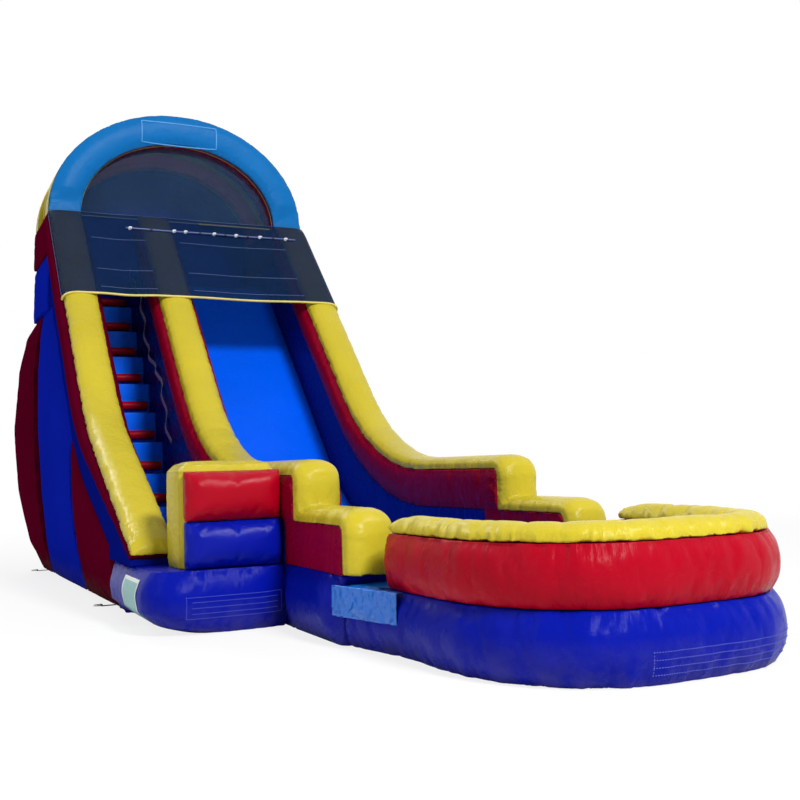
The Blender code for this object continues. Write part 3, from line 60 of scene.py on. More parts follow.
# %% [markdown]
# ## The slide's own measures
# The walls of the tower all start in one plane, the front face of the arch, and fall from there at
# one slope. A few measures, read from the frame's boxes, place everything that this script adds.
# %% Measures
FRONT_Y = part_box("left_tower_wall")[0].y
SPRING_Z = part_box("arch_tube")[0].z
SLOPE = math.radians(47.5)
TAN, COS, SIN = math.tan(SLOPE), math.cos(SLOPE), math.sin(SLOPE)
CROWN_H = 0.11
crown_boxes = {side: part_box(side + "_wall_top") for side in ("left", "middle", "right")}
walls = {side: (low.x, high.x) for side, (low, high) in crown_boxes.items()}
HALF_WIDTH = walls["right"][1]
WALL_T = HALF_WIDTH - walls["right"][0]
ARCH_OUT = (HALF_WIDTH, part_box("arch_face")[1].z - SPRING_Z)
ARCH_IN = (HALF_WIDTH - WALL_T, ARCH_OUT[1] - WALL_T)
print("arch plane at", round(FRONT_Y, 4), "walls", {k: (round(a, 3), round(b, 3)) for k, (a, b) in walls.items()})

# %% [markdown]
# ## Camera
# The photograph was taken from low down and to the left of the pool, about twelve metres from the
# tower. The angles come from fitting the slide's straight edges to the picture.
# %% Camera
LENS_MM, SENSOR_MM, FAR_CLIP = 46.36, 36, 200
EYE = Vector((-3.091, FRONT_Y - 12.3133, 1.16))
YAW, PITCH, ROLL = 0.453, 0.062, -0.029
ahead = Vector((math.sin(YAW) * math.cos(PITCH), math.cos(YAW) * math.cos(PITCH), math.sin(PITCH)))
level_right = Vector((math.cos(YAW), -math.sin(YAW), 0))
level_up = level_right.cross(ahead)
camera_right = level_right * math.cos(ROLL) + level_up * math.sin(ROLL)
camera_up = level_up * math.cos(ROLL) - level_right * math.sin(ROLL)
camera = bpy.data.objects.new("camera", bpy.data.cameras.new("camera"))
camera.data.lens = LENS_MM
camera.data.sensor_width = SENSOR_MM
camera.data.clip_end = FAR_CLIP
camera.matrix_world = Matrix.Translation(EYE) @ Matrix((camera_right, camera_up, -ahead)).transposed().to_4x4()
scene.collection.objects.link(camera)
scene.camera = camera
scene.view_settings.view_transform = "Standard"

# %% [markdown]
# ## Shader sums in plain Python
# Long chains of nodes are hard to read. A small class holds one socket and turns Python's own
# signs into Math nodes, so a mask can be written as a sum. Any other node comes from one method
# that takes the node's type, its settings and its sockets.
# %% Shader sums
class Value:
    def __init__(self, material, socket):
        self.material = material
        self.socket = socket

    def maths(self, operation, other=None):
        sockets = {0: self} if other is None else {0: self, 1: other}
        return self.material.node("ShaderNodeMath", {"operation": operation}, sockets)

    def __add__(self, other): return self.maths("ADD", other)
    def __radd__(self, other): return self.maths("ADD", other)
    def __sub__(self, other): return self.maths("SUBTRACT", other)
    def __rsub__(self, other): return self.maths("MULTIPLY", -1.0).maths("ADD", other)
    def __mul__(self, other): return self.maths("MULTIPLY", other)
    def __rmul__(self, other): return self.maths("MULTIPLY", other)
    def __truediv__(self, other): return self.maths("DIVIDE", other)
    def __pow__(self, other): return self.maths("POWER", other)
    def clamp(self): return self.maths("MINIMUM", 1.0).maths("MAXIMUM", 0.0)


class Finish:
    """One material that is built node by node."""

    def __init__(self, name):
        self.made = bpy.data.materials.new(name)
        self.made.use_nodes = True
        self.tree = self.made.node_tree
        self.shader = self.tree.nodes["Principled BSDF"]

    def node(self, kind, settings=None, sockets=None, out=0):
        made = self.tree.nodes.new(kind)
        for key, setting in (settings or {}).items():
            setattr(made, key, setting)
        for key, given in (sockets or {}).items():
            self.join(given, made.inputs[key])
        return Value(self, made.outputs[out])

    def join(self, given, socket):
        if isinstance(given, Value):
            self.tree.links.new(given.socket, socket)
        else:
            socket.default_value = given

    def attribute(self, name, out="Fac"):
        return self.node("ShaderNodeAttribute", {"attribute_name": name}, out=out)

    def place(self):
        return self.node("ShaderNodeTexCoord", out="Object")

    def noise(self, vector, scale, detail=3.0, rough=0.5, warp=0.0):
        sockets = {"Vector": vector, "Scale": scale, "Detail": detail, "Roughness": rough, "Distortion": warp}
        return self.node("ShaderNodeTexNoise", {}, sockets)

    def bands(self, direction, vector, scale, warp=0.0):
        sockets = {"Vector": vector, "Scale": scale, "Distortion": warp}
        return self.node("ShaderNodeTexWave", {"bands_direction": direction}, sockets, out=1)

    def cracks(self, vector, scale):
        """Distance to the nearest edge of a web of cells."""
        sockets = {"Vector": vector, "Scale": scale}
        return self.node("ShaderNodeTexVoronoi", {"feature": "DISTANCE_TO_EDGE"}, sockets)

    def vector_sum(self, first, second):
        return self.node("ShaderNodeVectorMath", {"operation": "ADD"}, {0: first, 1: second})

    def scaled(self, vector, factor):
        return self.node("ShaderNodeVectorMath", {"operation": "SCALE"}, {0: vector, "Scale": factor})

    def split(self, vector, axis):
        return self.node("ShaderNodeSeparateXYZ", {}, {0: vector}, out=axis)

    def mix(self, share, first, second):
        return self.node("ShaderNodeMix", {"data_type": "RGBA"}, {"Factor": share, 6: first, 7: second}, out=2)

    def bump(self, height, distance, normal=None):
        sockets = {"Height": height, "Distance": distance}
        if normal is not None:
            sockets["Normal"] = normal
        return self.node("ShaderNodeBump", {}, sockets)

    def set(self, **sockets):
        for key, given in sockets.items():
            self.join(given, self.shader.inputs[key.replace("_", " ").title()])

    def specular(self, level):
        self.shader.inputs["Specular IOR Level"].default_value = level


def linear(red, green, blue):
    shares = [c / 255 for c in (red, green, blue)]
    return tuple(c / 12.92 if c < 0.04045 else ((c + 0.055) / 1.055) ** 2.4 for c in shares) + (1.0,)


def shade(colour, share):
    return tuple(c * share for c in colour[:3]) + (1.0,)

# %% [markdown]
# ## Light and floor
# A white backdrop and a pale floor let the strong colours speak. One soft lamp stands in front to
# the right, as the sun did, with a weaker one on the left and one behind. The camera sees the
# floor turn into the backdrop with distance, so there is no horizon.
# %% Light and floor
BACKDROP = (1.0, 1.0, 1.0, 1.0)
AMBIENT = 0.40
world = bpy.data.worlds.new("studio")
scene.world = world
world.use_nodes = True
nodes, links = world.node_tree.nodes, world.node_tree.links
paths = nodes.new("ShaderNodeLightPath")
seen = None
for ray in ("Is Transmission Ray", "Is Glossy Ray"):
    both = nodes.new("ShaderNodeMath")
    both.operation = "MAXIMUM"
    links.new(seen or paths.outputs["Is Camera Ray"], both.inputs[0])
    links.new(paths.outputs[ray], both.inputs[1])
    seen = both.outputs[0]
strength = nodes.new("ShaderNodeMapRange")
strength.inputs["To Min"].default_value = AMBIENT
strength.inputs["To Max"].default_value = 1.0
links.new(seen, strength.inputs["Value"])
nodes["Background"].inputs["Color"].default_value = BACKDROP
links.new(strength.outputs[0], nodes["Background"].inputs["Strength"])


def lamp(name, place, aim, size, power):
    light = bpy.data.lights.new(name, "AREA")
    light.shape = "DISK"
    light.size = size
    light.energy = power
    holder = bpy.data.objects.new(name, light)
    holder.location = place
    holder.rotation_euler = (Vector(aim) - Vector(place)).to_track_quat("-Z", "Y").to_euler()
    scene.collection.objects.link(holder)


lamp("front_lamp", (2.2, -14.0, 12.5), (0, -0.5, 1.5), 4.0, 3000)
lamp("left_lamp", (-13.0, -5.0, 8.0), (0, 0.5, 1.8), 6.0, 260)
lamp("back_lamp", (-2.0, 14.0, 13.0), (0, 0, 2.0), 6.0, 1300)

FLOOR_HALF, FLOOR_DROP = 90.0, 0.002
NEAR_SHARE, FADE_START, FADE_RUN = 0.80, 5.0, 9.0
PALE_GREY = (0.82, 0.82, 0.82, 1.0)
corners = [(x * FLOOR_HALF, y * FLOOR_HALF, -FLOOR_DROP) for x, y in ((-1, -1), (1, -1), (1, 1), (-1, 1))]
floor_mesh = bpy.data.meshes.new("floor")
floor_mesh.from_pydata(corners, [], [(0, 1, 2, 3)])
floor = bpy.data.objects.new("floor", floor_mesh)
scene.collection.objects.link(floor)
pale = Finish("pale_floor")
pale.set(base_color=PALE_GREY, roughness=0.95)
pale.specular(0.0)
away = pale.node("ShaderNodeVectorMath", {"operation": "LENGTH"}, {0: pale.place()}, out="Value")
to_backdrop = NEAR_SHARE + ((away - FADE_START) / FADE_RUN).clamp() * (1.0 - NEAR_SHARE)
rays = pale.node("ShaderNodeLightPath", out="Is Camera Ray")
glow = pale.node("ShaderNodeEmission", {}, {"Color": BACKDROP})
lit = Value(pale, pale.shader.outputs[0])
mixed = pale.node("ShaderNodeMixShader", {}, {0: rays * to_backdrop, 1: lit, 2: glow})
pale.tree.links.new(mixed.socket, pale.tree.nodes["Material Output"].inputs["Surface"])
floor_mesh.materials.append(pale.made)

# %% [markdown]
# ## Coated cloth
# The skin is a polyester weave under a glossy soft coating. Close up it shows the grid of the weave,
# at arm's length it shows puckers that run across each seam, and from afar soft dents and
# the faint web of creases that folding leaves. Two marks kept on every point drive this: how far
# the nearest seam is, and where on that seam its closest place lies. Its colour also carries
# painted shade: dark along each seam and faint in the creases.
# %% Coated cloth
FOLD_WAVE, FOLD_REACH = 0.06, 0.22       # from pucker to pucker, and how far they run from a seam
DENTS_PER_M, CRUMPLES_PER_M, CREASES_PER_M, WEAVE_PER_M = 2.3, 9.0, 2.4, 170.0
FOLD_DEEP, DENT_DEEP, CRUMPLE_DEEP, CREASE_DEEP, WEAVE_DEEP = 0.015, 0.030, 0.0045, -0.0009, 0.0002
CREASE_WIDE, SEAM_SHADE_WIDE, SHADE_WIDE = 0.03, 0.009, 0.05
SOIL, SOIL_HIGH, SOIL_MOST = linear(96, 88, 78), 0.26, 0.42


def web_of(cloth, place, warp_scale, scale):
    """The distance to the nearest line of a bent web."""
    bent = cloth.vector_sum(place, cloth.scaled(cloth.noise(place, warp_scale), 0.5))
    return cloth.cracks(bent, scale)


def coated_cloth(name, colour, rough=0.26, pucker=1.0, dents=1.0, gloss=0.07, crinkle=0.0):
    """Coated cloth of one colour; crinkle, where given, is the height of shards of folded cloth."""
    cloth = Finish(name)
    place = cloth.place()
    near = cloth.attribute("seam_near")
    seam_at = cloth.attribute("seam_at", "Vector")
    lean = cloth.vector_sum(cloth.scaled(seam_at, 0.8), cloth.scaled(place, 0.2))
    fade = (1.0 - near / FOLD_REACH).clamp() ** 1.8
    ridge = cloth.noise(lean, 1.0 / FOLD_WAVE, 2.0)
    fine = cloth.noise(lean, 2.6 / FOLD_WAVE, 2.0)
    folds = (ridge * 0.65 + fine * 0.35) * fade
    soft = cloth.noise(place, DENTS_PER_M, 3.0, 0.5, 0.5)
    crumple = cloth.noise(place, CRUMPLES_PER_M, 3.0, 0.55, 1.0)
    web = web_of(cloth, place, 3.0, CREASES_PER_M)
    crease = (1.0 - web / CREASE_WIDE).clamp() * (crumple * 1.6 - 0.5).clamp()
    weave = cloth.bands("DIAGONAL", place, WEAVE_PER_M)
    normal = cloth.bump(folds, FOLD_DEEP * pucker)
    normal = cloth.bump(soft, DENT_DEEP * dents, normal)
    normal = cloth.bump(crumple, CRUMPLE_DEEP * dents, normal)
    normal = cloth.bump(crease, CREASE_DEEP, normal)
    if crinkle:
        normal = cloth.bump(web_of(cloth, place, 5.0, 5.0) ** 0.7, crinkle, normal)
    normal = cloth.bump(weave, WEAVE_DEEP, normal)
    tone = cloth.noise(place, 1.3, 4.0, 0.55)
    base = cloth.mix((tone * 1.4 - 0.2).clamp(), shade(colour, 0.86), shade(colour, 1.06))
    # Painted shade along each seam: the colour darkens strongly right at the seam and faintly a little further
    # out.
    painted_seam_shade = (1.0 - near / SEAM_SHADE_WIDE).clamp() * 0.30 + (1.0 - near / SHADE_WIDE).clamp() * 0.08
    base = cloth.mix(painted_seam_shade.clamp(), base, shade(colour, 0.35))
    # Painted shade: the creases are a little darker.
    base = cloth.mix(crease * 0.10, base, shade(colour, 0.7))
    dust = cloth.noise(place, 6.0, 5.0, 0.7)
    foot = ((SOIL_HIGH - cloth.split(place, 2)) / SOIL_HIGH).clamp()
    soil = foot * (dust * 2.2 - 0.7).clamp() * SOIL_MOST
    base = cloth.mix(soil.clamp(), base, SOIL)
    roughness = (dust * 0.20 + (rough - 0.10) + soil * 0.5).clamp()
    cloth.set(base_color=base, roughness=roughness, normal=normal)
    cloth.specular(gloss)
    return cloth.made


YELLOW = linear(192, 175, 42)
MAROON = linear(134, 0, 34)
RED = linear(162, 2, 28)
ROYAL = linear(4, 20, 150)
BED_BLUE = linear(0, 92, 246)
SKY = linear(12, 104, 172)
NAVY = linear(8, 20, 120)
skin = {
    "yellow": coated_cloth("yellow_cloth", YELLOW, gloss=0.14),
    "maroon": coated_cloth("maroon_cloth", MAROON, gloss=0.05),
    "red": coated_cloth("red_cloth", RED),
    "royal": coated_cloth("royal_cloth", ROYAL, rough=0.24, gloss=0.05, pucker=0.6),
    "bright": coated_cloth("bed_cloth", BED_BLUE, dents=0.55, pucker=0.5),
    "sky": coated_cloth("sky_cloth", SKY, dents=0.6, rough=0.32),
    "navy": coated_cloth("navy_cloth", NAVY),
}
# The sides lie in shade, so they are matt, with painted shade in a darker maroon and painted light in a lighter
# blue; the block's pads are tight and smooth.
matt = {"gloss": 0.0, "rough": 0.34}
side_lit_and_shaded_skin = {
    "royal": coated_cloth("side_royal_painted_light_cloth", linear(12, 32, 168), **matt),
    "maroon": coated_cloth("side_maroon_painted_shade_cloth", linear(90, 2, 32), **matt),
    "navy": coated_cloth("side_navy_cloth", NAVY, **matt),
}
tight = {"pucker": 0.25, "dents": 0.4, "gloss": 0.10, "rough": 0.22}
pad_skin = {
    "red": coated_cloth("pad_red_cloth", RED, **tight),
    "royal": coated_cloth("pad_blue_cloth", ROYAL, **tight),
}
print("finishes:", ", ".join(sorted(skin)))

# %% [markdown]
# ## From a solid to an air chamber
# Each chamber in the frame is a faceted solid. Its copy is rebuilt as an even grid. Points beside a
# sewn edge go back onto it, so that neighbours still meet, and every point learns where its nearest
# seam is. The room in front of each point, up to the next piece, says how far it may swell.
# %% Seams of a chamber
SHARP_DEG, PAD_SHARP_DEG = 38.0, 62.0
pads = ("climb_block_upper", "climb_block_lower")
SEAM_STEP = 0.03
ROOM_REACH, TOUCHING, ROOM_SHARE = 0.12, 0.004, 0.45


def merged(node):
    made = bmesh.new()
    made.from_mesh(frame["nodes"][node].data)
    bmesh.ops.remove_doubles(made, verts=made.verts, dist=0.0001)
    return made


def sharp_edges(solid, limit):
    """The sewn edges, as two arrays of end points."""
    edges = [e for e in solid.edges
             if len(e.link_faces) == 2 and e.calc_face_angle(0.0) > math.radians(limit)]
    starts = np.array([e.verts[0].co for e in edges])
    ends = np.array([e.verts[1].co for e in edges])
    return starts, ends


def points_of(mesh, what="co"):
    values = np.empty(len(mesh.vertices) * 3, np.float32)
    mesh.vertices.foreach_get(what, values)
    return values.reshape(-1, 3).astype(np.float64)


def put_points(mesh, places):
    mesh.vertices.foreach_set("co", places.astype(np.float32).ravel())
    mesh.update()


def dots(first, second):
    return np.einsum("ij,ij->i", first, second)


def nearest_seam(places, starts, ends):
    """For each place, the closest point on any sewn edge and its distance."""
    samples, owner = [], []
    for i, (a, b) in enumerate(zip(starts, ends)):
        steps = max(1, int(np.linalg.norm(b - a) / SEAM_STEP))
        for k in range(steps + 1):
            samples.append(a + (b - a) * k / steps)
            owner.append(i)
    tree = kdtree.KDTree(len(samples))
    for i, sample in enumerate(samples):
        tree.insert(sample, i)
    tree.balance()
    found = np.array([owner[tree.find(p)[1]] for p in places.tolist()])
    a, b = starts[found], ends[found]
    along = b - a
    square = np.maximum(dots(along, along), 1e-12)
    share = dots(places - a, along) / square
    at = a + along * np.clip(share, 0.0, 1.0)[:, None]
    return at, np.linalg.norm(places - at, axis=1)


# %% Room in front of a skin
solid_faces = {}
for node, item in frame["nodes"].items():
    if item.type == "MESH":
        item.data.calc_loop_triangles()
        triangles = [tuple(t.vertices) for t in item.data.loop_triangles]
        solid_faces[node] = (points_of(item.data), triangles)


def neighbours(node, reach=0.3):
    """One search tree over the solids that come near a node."""
    low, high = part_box(node)
    low, high = np.array(low) - reach, np.array(high) + reach
    points, faces = [], []
    for other, (places, triangles) in solid_faces.items():
        if other == node or (places.max(axis=0) < low).any() or (places.min(axis=0) > high).any():
            continue
        start = len(points)
        points += places.tolist()
        faces += [tuple(start + i for i in t) for t in triangles]
    return BVHTree.FromPolygons(points, faces) if faces else None


def room_before(tree, places, normals):
    room = np.full(len(places), ROOM_REACH)
    if tree is None:
        return room
    for i, (place, normal) in enumerate(zip(places.tolist(), normals.tolist())):
        hit = tree.ray_cast(Vector(place), Vector(normal), ROOM_REACH)
        if hit[0] is not None:
            room[i] = hit[3]
    return room


# %% Soft noise in numbers
def lattice(points, seed):
    """Soft noise from -1 to 1 at each point, from random values at the corners of unit cells."""
    cell = np.floor(points).astype(np.int64)
    part = points - cell
    part = part * part * (3.0 - 2.0 * part)
    total = np.zeros(len(points))
    for corner in range(8):
        offset = np.array([corner & 1, corner >> 1 & 1, corner >> 2 & 1])
        key = cell + offset
        mixed = key[:, 0] * 73856093 ^ key[:, 1] * 19349663 ^ key[:, 2] * 83492791 ^ seed * 40503
        mixed = (mixed ^ mixed >> 13) * 1274126177 & 0x7FFFFFFF
        value = (mixed >> 8 & 0xFFFF) / 32767.5 - 1.0
        total += value * np.prod(np.where(offset, part, 1.0 - part), axis=1)
    return total


# %% Grid, smoothing and marks
def placed(name, mesh):
    made = bpy.data.objects.new(name, mesh)
    scene.collection.objects.link(made)
    return made


def evaluated(holder):
    return bpy.data.meshes.new_from_object(holder.evaluated_get(bpy.context.evaluated_depsgraph_get()))


def plain(holder):
    """The mesh that a helper object's modifiers make; the helper goes."""
    made = evaluated(holder)
    bpy.data.objects.remove(holder)
    return made


def even_grid(mesh, size):
    """The mesh as an even grid of small squares."""
    holder = placed("holder", mesh)
    grid = holder.modifiers.new("grid", "REMESH")
    grid.mode = "VOXEL"
    grid.voxel_size = size
    return plain(holder)


def edge_ends(mesh):
    ends = np.empty(len(mesh.edges) * 2, np.int64)
    mesh.edges.foreach_get("vertices", ends)
    return ends[0::2], ends[1::2]


def smoothed(places, ends, rounds):
    """Moves each point halfway to the mean of its neighbours, a few times."""
    a, b = ends
    count = len(places)
    joined = np.maximum(np.bincount(a, minlength=count) + np.bincount(b, minlength=count), 1)[:, None]
    for _ in range(rounds):
        sums = [np.bincount(a, places[b, k], count) + np.bincount(b, places[a, k], count) for k in range(3)]
        total = np.stack(sums, axis=1)
        places = places + 0.5 * (total / joined - places)
    return places


def keep_mark(mesh, name, values):
    kind = "FLOAT_VECTOR" if values.ndim == 2 else "FLOAT"
    kept = mesh.attributes.get(name) or mesh.attributes.new(name, kind, "POINT")
    kept.data.foreach_set("vector" if values.ndim == 2 else "value", values.astype(np.float32).ravel())


SMOOTH_ROUNDS = 3


def bare_skin(node, grid):
    """The chamber's even grid, with its seams crisp: mesh, sewn edges and the neighbours' tree."""
    solid = merged(node)
    seams = sharp_edges(solid, PAD_SHARP_DEG if node in pads else SHARP_DEG)
    rough = bpy.data.meshes.new(node + "_skin")
    solid.to_mesh(rough)
    solid.free()
    mesh = even_grid(rough, grid)
    places = smoothed(points_of(mesh), edge_ends(mesh), SMOOTH_ROUNDS)
    at, near = nearest_seam(places, *seams)
    pull = np.clip(1.5 - near / grid, 0.0, 1.0)[:, None]
    put_points(mesh, places * (1.0 - pull) + at * pull)
    return mesh, seams, neighbours(node)

# %% [markdown]
# ## Blow it up
# The pads that the eye goes to first, the entry block, its base and the pool's tubes, are blown up
# by Blender's own cloth. Their cloth is cut a little too long for its seams, as on the real
# thing, so the seams gather it into puckers. How far a point may move is capped, and the room in
# front of it caps it again. The long walls and panels get the same puckers from sums.
# %% Cloth under pressure
SIM_FRAMES, PRESSURE, SLACK = 20, 4.0, 0.035
CLOTH_SETTINGS = {
    "quality": 5, "mass": 0.3, "tension_stiffness": 12.0, "compression_stiffness": 12.0,
    "shear_stiffness": 6.0, "bending_stiffness": 0.3, "air_damping": 4.0, "use_pressure": True,
    "uniform_pressure_force": PRESSURE, "shrink_min": -SLACK, "vertex_group_mass": "held",
}
# For each pad: the grid's cell, and the farthest that a point may move.
blown = {
    "climb_block_upper": (0.020, 0.030), "climb_block_lower": (0.020, 0.030),
    "climb_block_frame": (0.024, 0.022), "entry_base": (0.034, 0.026),
    "pool_wall": (0.030, 0.026), "pool_wall_top": (0.026, 0.026), "pool_base": (0.036, 0.024),
}


def cloth_under_pressure(skins):
    """Runs one simulation for all the skins, and returns how far each point went."""
    waiting = []
    for node, (mesh, seams, tree) in skins.items():
        holder = placed(node + "_blown", mesh.copy())
        places, normals = points_of(mesh), points_of(mesh, "normal")
        at, near = nearest_seam(places, *seams)
        room = room_before(tree, places, normals)
        grid = blown[node][0]
        held = holder.vertex_groups.new(name="held")
        for i in np.nonzero((near < grid * 0.7) | (room < TOUCHING))[0].tolist():
            held.add([i], 1.0, "REPLACE")
        cloth = holder.modifiers.new("cloth", "CLOTH")
        for key, setting in CLOTH_SETTINGS.items():
            setattr(cloth.settings, key, setting)
        cloth.settings.effector_weights.gravity = 0.0
        cloth.point_cache.frame_start = 1
        cloth.point_cache.frame_end = SIM_FRAMES
        waiting.append((node, holder, places, normals, room))
    for step in range(1, SIM_FRAMES + 1):
        scene.frame_set(step)
    moved = {}
    for node, holder, places, normals, room in waiting:
        went = points_of(evaluated(holder)) - places
        far = np.linalg.norm(went, axis=1)
        cap = blown[node][1]
        went *= (cap * np.tanh(far / cap) / np.maximum(far, 1e-9))[:, None]
        went -= normals * np.maximum(0.0, dots(went, normals) - ROOM_SHARE * room)[:, None]
        moved[node] = went
        print(f"{node}: moved up to {far.max():.3f} m, kept {np.linalg.norm(went, axis=1).max():.3f} m")
        bpy.data.objects.remove(holder)
    scene.frame_set(1)
    return moved


def subdivided(mesh):
    holder = placed("holder", mesh)
    finer = holder.modifiers.new("finer", "SUBSURF")
    finer.levels = 1
    finer.render_levels = 1
    return plain(holder)

# %% Pucker the skin
SWELL_RUN, BROAD_DENT, LEAN = 0.06, 0.55, 0.78


def puckered(mesh, seams, tree, swell, depth, reach, wave, seed):
    """Swells the skin between its seams and folds it beside them, never past its room."""
    places, normals = points_of(mesh), points_of(mesh, "normal")
    at, near = nearest_seam(places, *seams)
    room = room_before(tree, places, normals)
    lean = at * LEAN + places * (1.0 - LEAN)
    folds = lattice(lean / wave, seed)
    fine = lattice(lean / (wave * 0.42), seed + 1)
    broad = lattice(places / BROAD_DENT, seed + 2)
    fade = np.clip(1.0 - near / reach, 0.0, 1.0) ** 1.5 * np.clip(near / 0.006, 0.0, 1.0)
    inward = depth * fade * (np.maximum(0.0, folds + 0.15) * 0.75 + np.maximum(0.0, fine) * 0.35)
    inward += 0.25 * depth * np.maximum(0.0, broad)
    outward = swell * (1.0 - np.exp(-near / SWELL_RUN))
    move = np.minimum(outward - inward, ROOM_SHARE * room)
    pressed = room < TOUCHING
    move[pressed] = np.minimum(move[pressed], 0.0) * 0.2
    moved = places + normals * move[:, None]
    moved[:, 2] = np.maximum(moved[:, 2], 0.0)  # the ground keeps the foot of a chamber flat
    put_points(mesh, moved)
    keep_mark(mesh, "seam_near", near)
    keep_mark(mesh, "seam_at", at)


def finished(name, mesh, node, material):
    """The mesh as the piece that shows a node."""
    piece = placed(name, mesh)
    mesh.materials.clear()
    mesh.materials.append(material)
    mesh.shade_smooth()
    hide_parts(node)
    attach(piece, body_of[node])
    return piece


def area_of(piece):
    return sum(face.area for face in piece.data.polygons)


# %% The pads that are blown up
pieces = {}
blown_skins = {node: bare_skin(node, grid) for node, (grid, cap) in blown.items()}
for node, went in cloth_under_pressure(blown_skins).items():
    mesh = blown_skins[node][0]
    put_points(mesh, points_of(mesh) + went)
# For each pad: its swell, its folds' depth, how far they run from a seam, and their spacing.
pad_folds = {
    "climb_block_upper": (0.004, 0.010, 0.10, 0.05), "climb_block_lower": (0.004, 0.010, 0.10, 0.05),
    "climb_block_frame": (0.004, 0.010, 0.12, 0.06), "entry_base": (0.004, 0.014, 0.20, 0.07),
    "pool_wall": (0.012, 0.020, 0.20, 0.07), "pool_wall_top": (0.010, 0.026, 0.16, 0.06),
    "pool_base": (0.010, 0.020, 0.22, 0.08),
}
for number, (node, (mesh, seams, tree)) in enumerate(blown_skins.items()):
    mesh = subdivided(mesh)
    puckered(mesh, seams, tree, *pad_folds[node], seed=10 + number)
    cloth = (pad_skin if node in pads else skin)[slot_of[node]]
    pieces[node] = finished(node + "_skin", mesh, node, cloth)
    print(f"{node}: {len(mesh.polygons)} faces")

# %% Walls, panels and the rest of the chambers
# For each chamber: the grid's cell and its folds' depth.
chambers = {
    "arch_face": (0.022, 0.008), "arch_tube": (0.028, 0.008), "rear_arch_tube": (0.028, 0.008),
    "canopy_roof": (0.024, 0.006), "back_wall_lower": (0.034, 0.016), "back_wall_upper": (0.030, 0.012),
    "landing_base": (0.034, 0.010), "platform": (0.034, 0.008), "slide_bed": (0.030, 0.005),
    "stair_bed": (0.017, 0.005), "step_bar_rack": (0.011, 0.005), "step_bar_9": (0.010, 0.004),
    "stair_side_lining": (0.022, 0.005), "left_rear_column": (0.030, 0.022),
    "right_rear_column": (0.030, 0.022), "left_side_panel": (0.032, 0.022),
    "right_side_panel": (0.032, 0.022), "left_front_panel": (0.024, 0.018),
    "right_front_panel": (0.026, 0.018), "left_tower_wall": (0.024, 0.020),
    "right_tower_wall": (0.026, 0.020), "left_tower_band": (0.022, 0.020),
    "right_tower_band": (0.024, 0.020),
}
for side in ("left", "middle", "right"):
    chambers[side + "_wall_top"] = (0.015, 0.016)
    chambers[side + "_wall_band"] = (0.017, 0.016)
    chambers[side + "_wall_skirt"] = (0.024, 0.010)
# Painted light: the stair bed's blue is lighter than the slide bed's, to brighten the stairs in the middle wall's
# shade.
stair_painted_light_cloth = coated_cloth("stair_painted_light_cloth", linear(6, 104, 255), dents=0.5, pucker=0.5)
WIDE_FOLDS, SHORT_FOLDS = (0.30, 0.09), (0.16, 0.055)
FULL_SWELL, FLAT_SWELL = 0.012, 0.004
ARCH_GROWTH, REAR_GROWTH = 0.02, 0.045


def has(node, *words):
    return any(word in node for word in words)


def grown(node, places):
    """The rear walls reach a little behind the tubes and columns beside them, so no slit shows."""
    if node == "back_wall_upper":
        share = np.where(places[:, 2] > SPRING_Z, 1.0 + ARCH_GROWTH, 1.0)
        places[:, 0] *= share
        places[:, 2] = SPRING_Z + (places[:, 2] - SPRING_Z) * share
    if node == "back_wall_lower":
        bow = np.sin(np.pi * places[:, 2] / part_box(node)[1].z)
        places[:, 0] *= 1.0 + REAR_GROWTH * np.sqrt(np.maximum(0.0, bow))
    return places


def cloth_of(node):
    if node == "stair_bed":
        return stair_painted_light_cloth
    # Panels, columns, tower walls and the left wall's band and skirt take the side cloths, with their painted
    # shade and light.
    outside = has(node, "panel", "column", "tower", "left_wall_band", "left_wall_skirt")
    return outside and side_lit_and_shaded_skin.get(slot_of[node]) or skin[slot_of[node]]


for number, (node, (grid, depth)) in enumerate(chambers.items()):
    mesh, seams, tree = bare_skin(node, grid)
    reach, wave = WIDE_FOLDS if has(node, "panel", "column", "back") else SHORT_FOLDS
    swell = FULL_SWELL if has(node, "band", "tower", "panel", "column") else FLAT_SWELL
    puckered(mesh, seams, tree, swell, depth, reach, wave, seed=40 + number)
    put_points(mesh, grown(node, points_of(mesh)))
    pieces[node] = finished(node + "_skin", mesh, node, cloth_of(node))
    print(f"{node}: {len(mesh.polygons)} faces")

# %% [markdown]
# ## Two colours on one tube
# The canopy's tubes show one colour outside and another one inside the arch. Outside they get a
# darker yellow, painted shade. A test on each face's middle chooses its cloth.
# %% Two colours on one tube
def inner_colour(piece, across, up, cloth, rear=math.inf):
    """Faces nearer to the arch's axis than an ellipse, and in front of rear, get another cloth."""
    mesh = piece.data
    mesh.materials.append(cloth)
    for face in mesh.polygons:
        x, z = face.center.x / across, (face.center.z - SPRING_Z) / up
        face.material_index = 1 if x * x + z * z < 1.0 and face.center.y < rear else 0


SHADED_YELLOW = coated_cloth("shaded_yellow_cloth", linear(176, 160, 34))
SHADED_MAROON = coated_cloth("shaded_maroon_cloth", linear(150, 24, 50))
SHADED_BLUE = coated_cloth("shaded_blue_cloth", linear(30, 90, 220))
RIB = coated_cloth("rib_cloth", linear(206, 104, 84))
inner_colour(pieces["arch_tube"], ARCH_IN[0] + 0.10, ARCH_IN[1] + 0.10, SHADED_MAROON)
rear_low, rear_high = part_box("rear_arch_tube")
inner_colour(pieces["rear_arch_tube"], ARCH_IN[0] + 0.16, ARCH_IN[1] + 0.16, RIB, (rear_low.y + rear_high.y) / 2)
inner_colour(pieces["canopy_roof"], ARCH_OUT[0] - 0.13, ARCH_OUT[1] - 0.13, SHADED_BLUE)
# The outsides take the darker yellow: painted shade.
for name in ("arch_tube", "rear_arch_tube", "canopy_roof"):
    pieces[name].data.materials[0] = SHADED_YELLOW

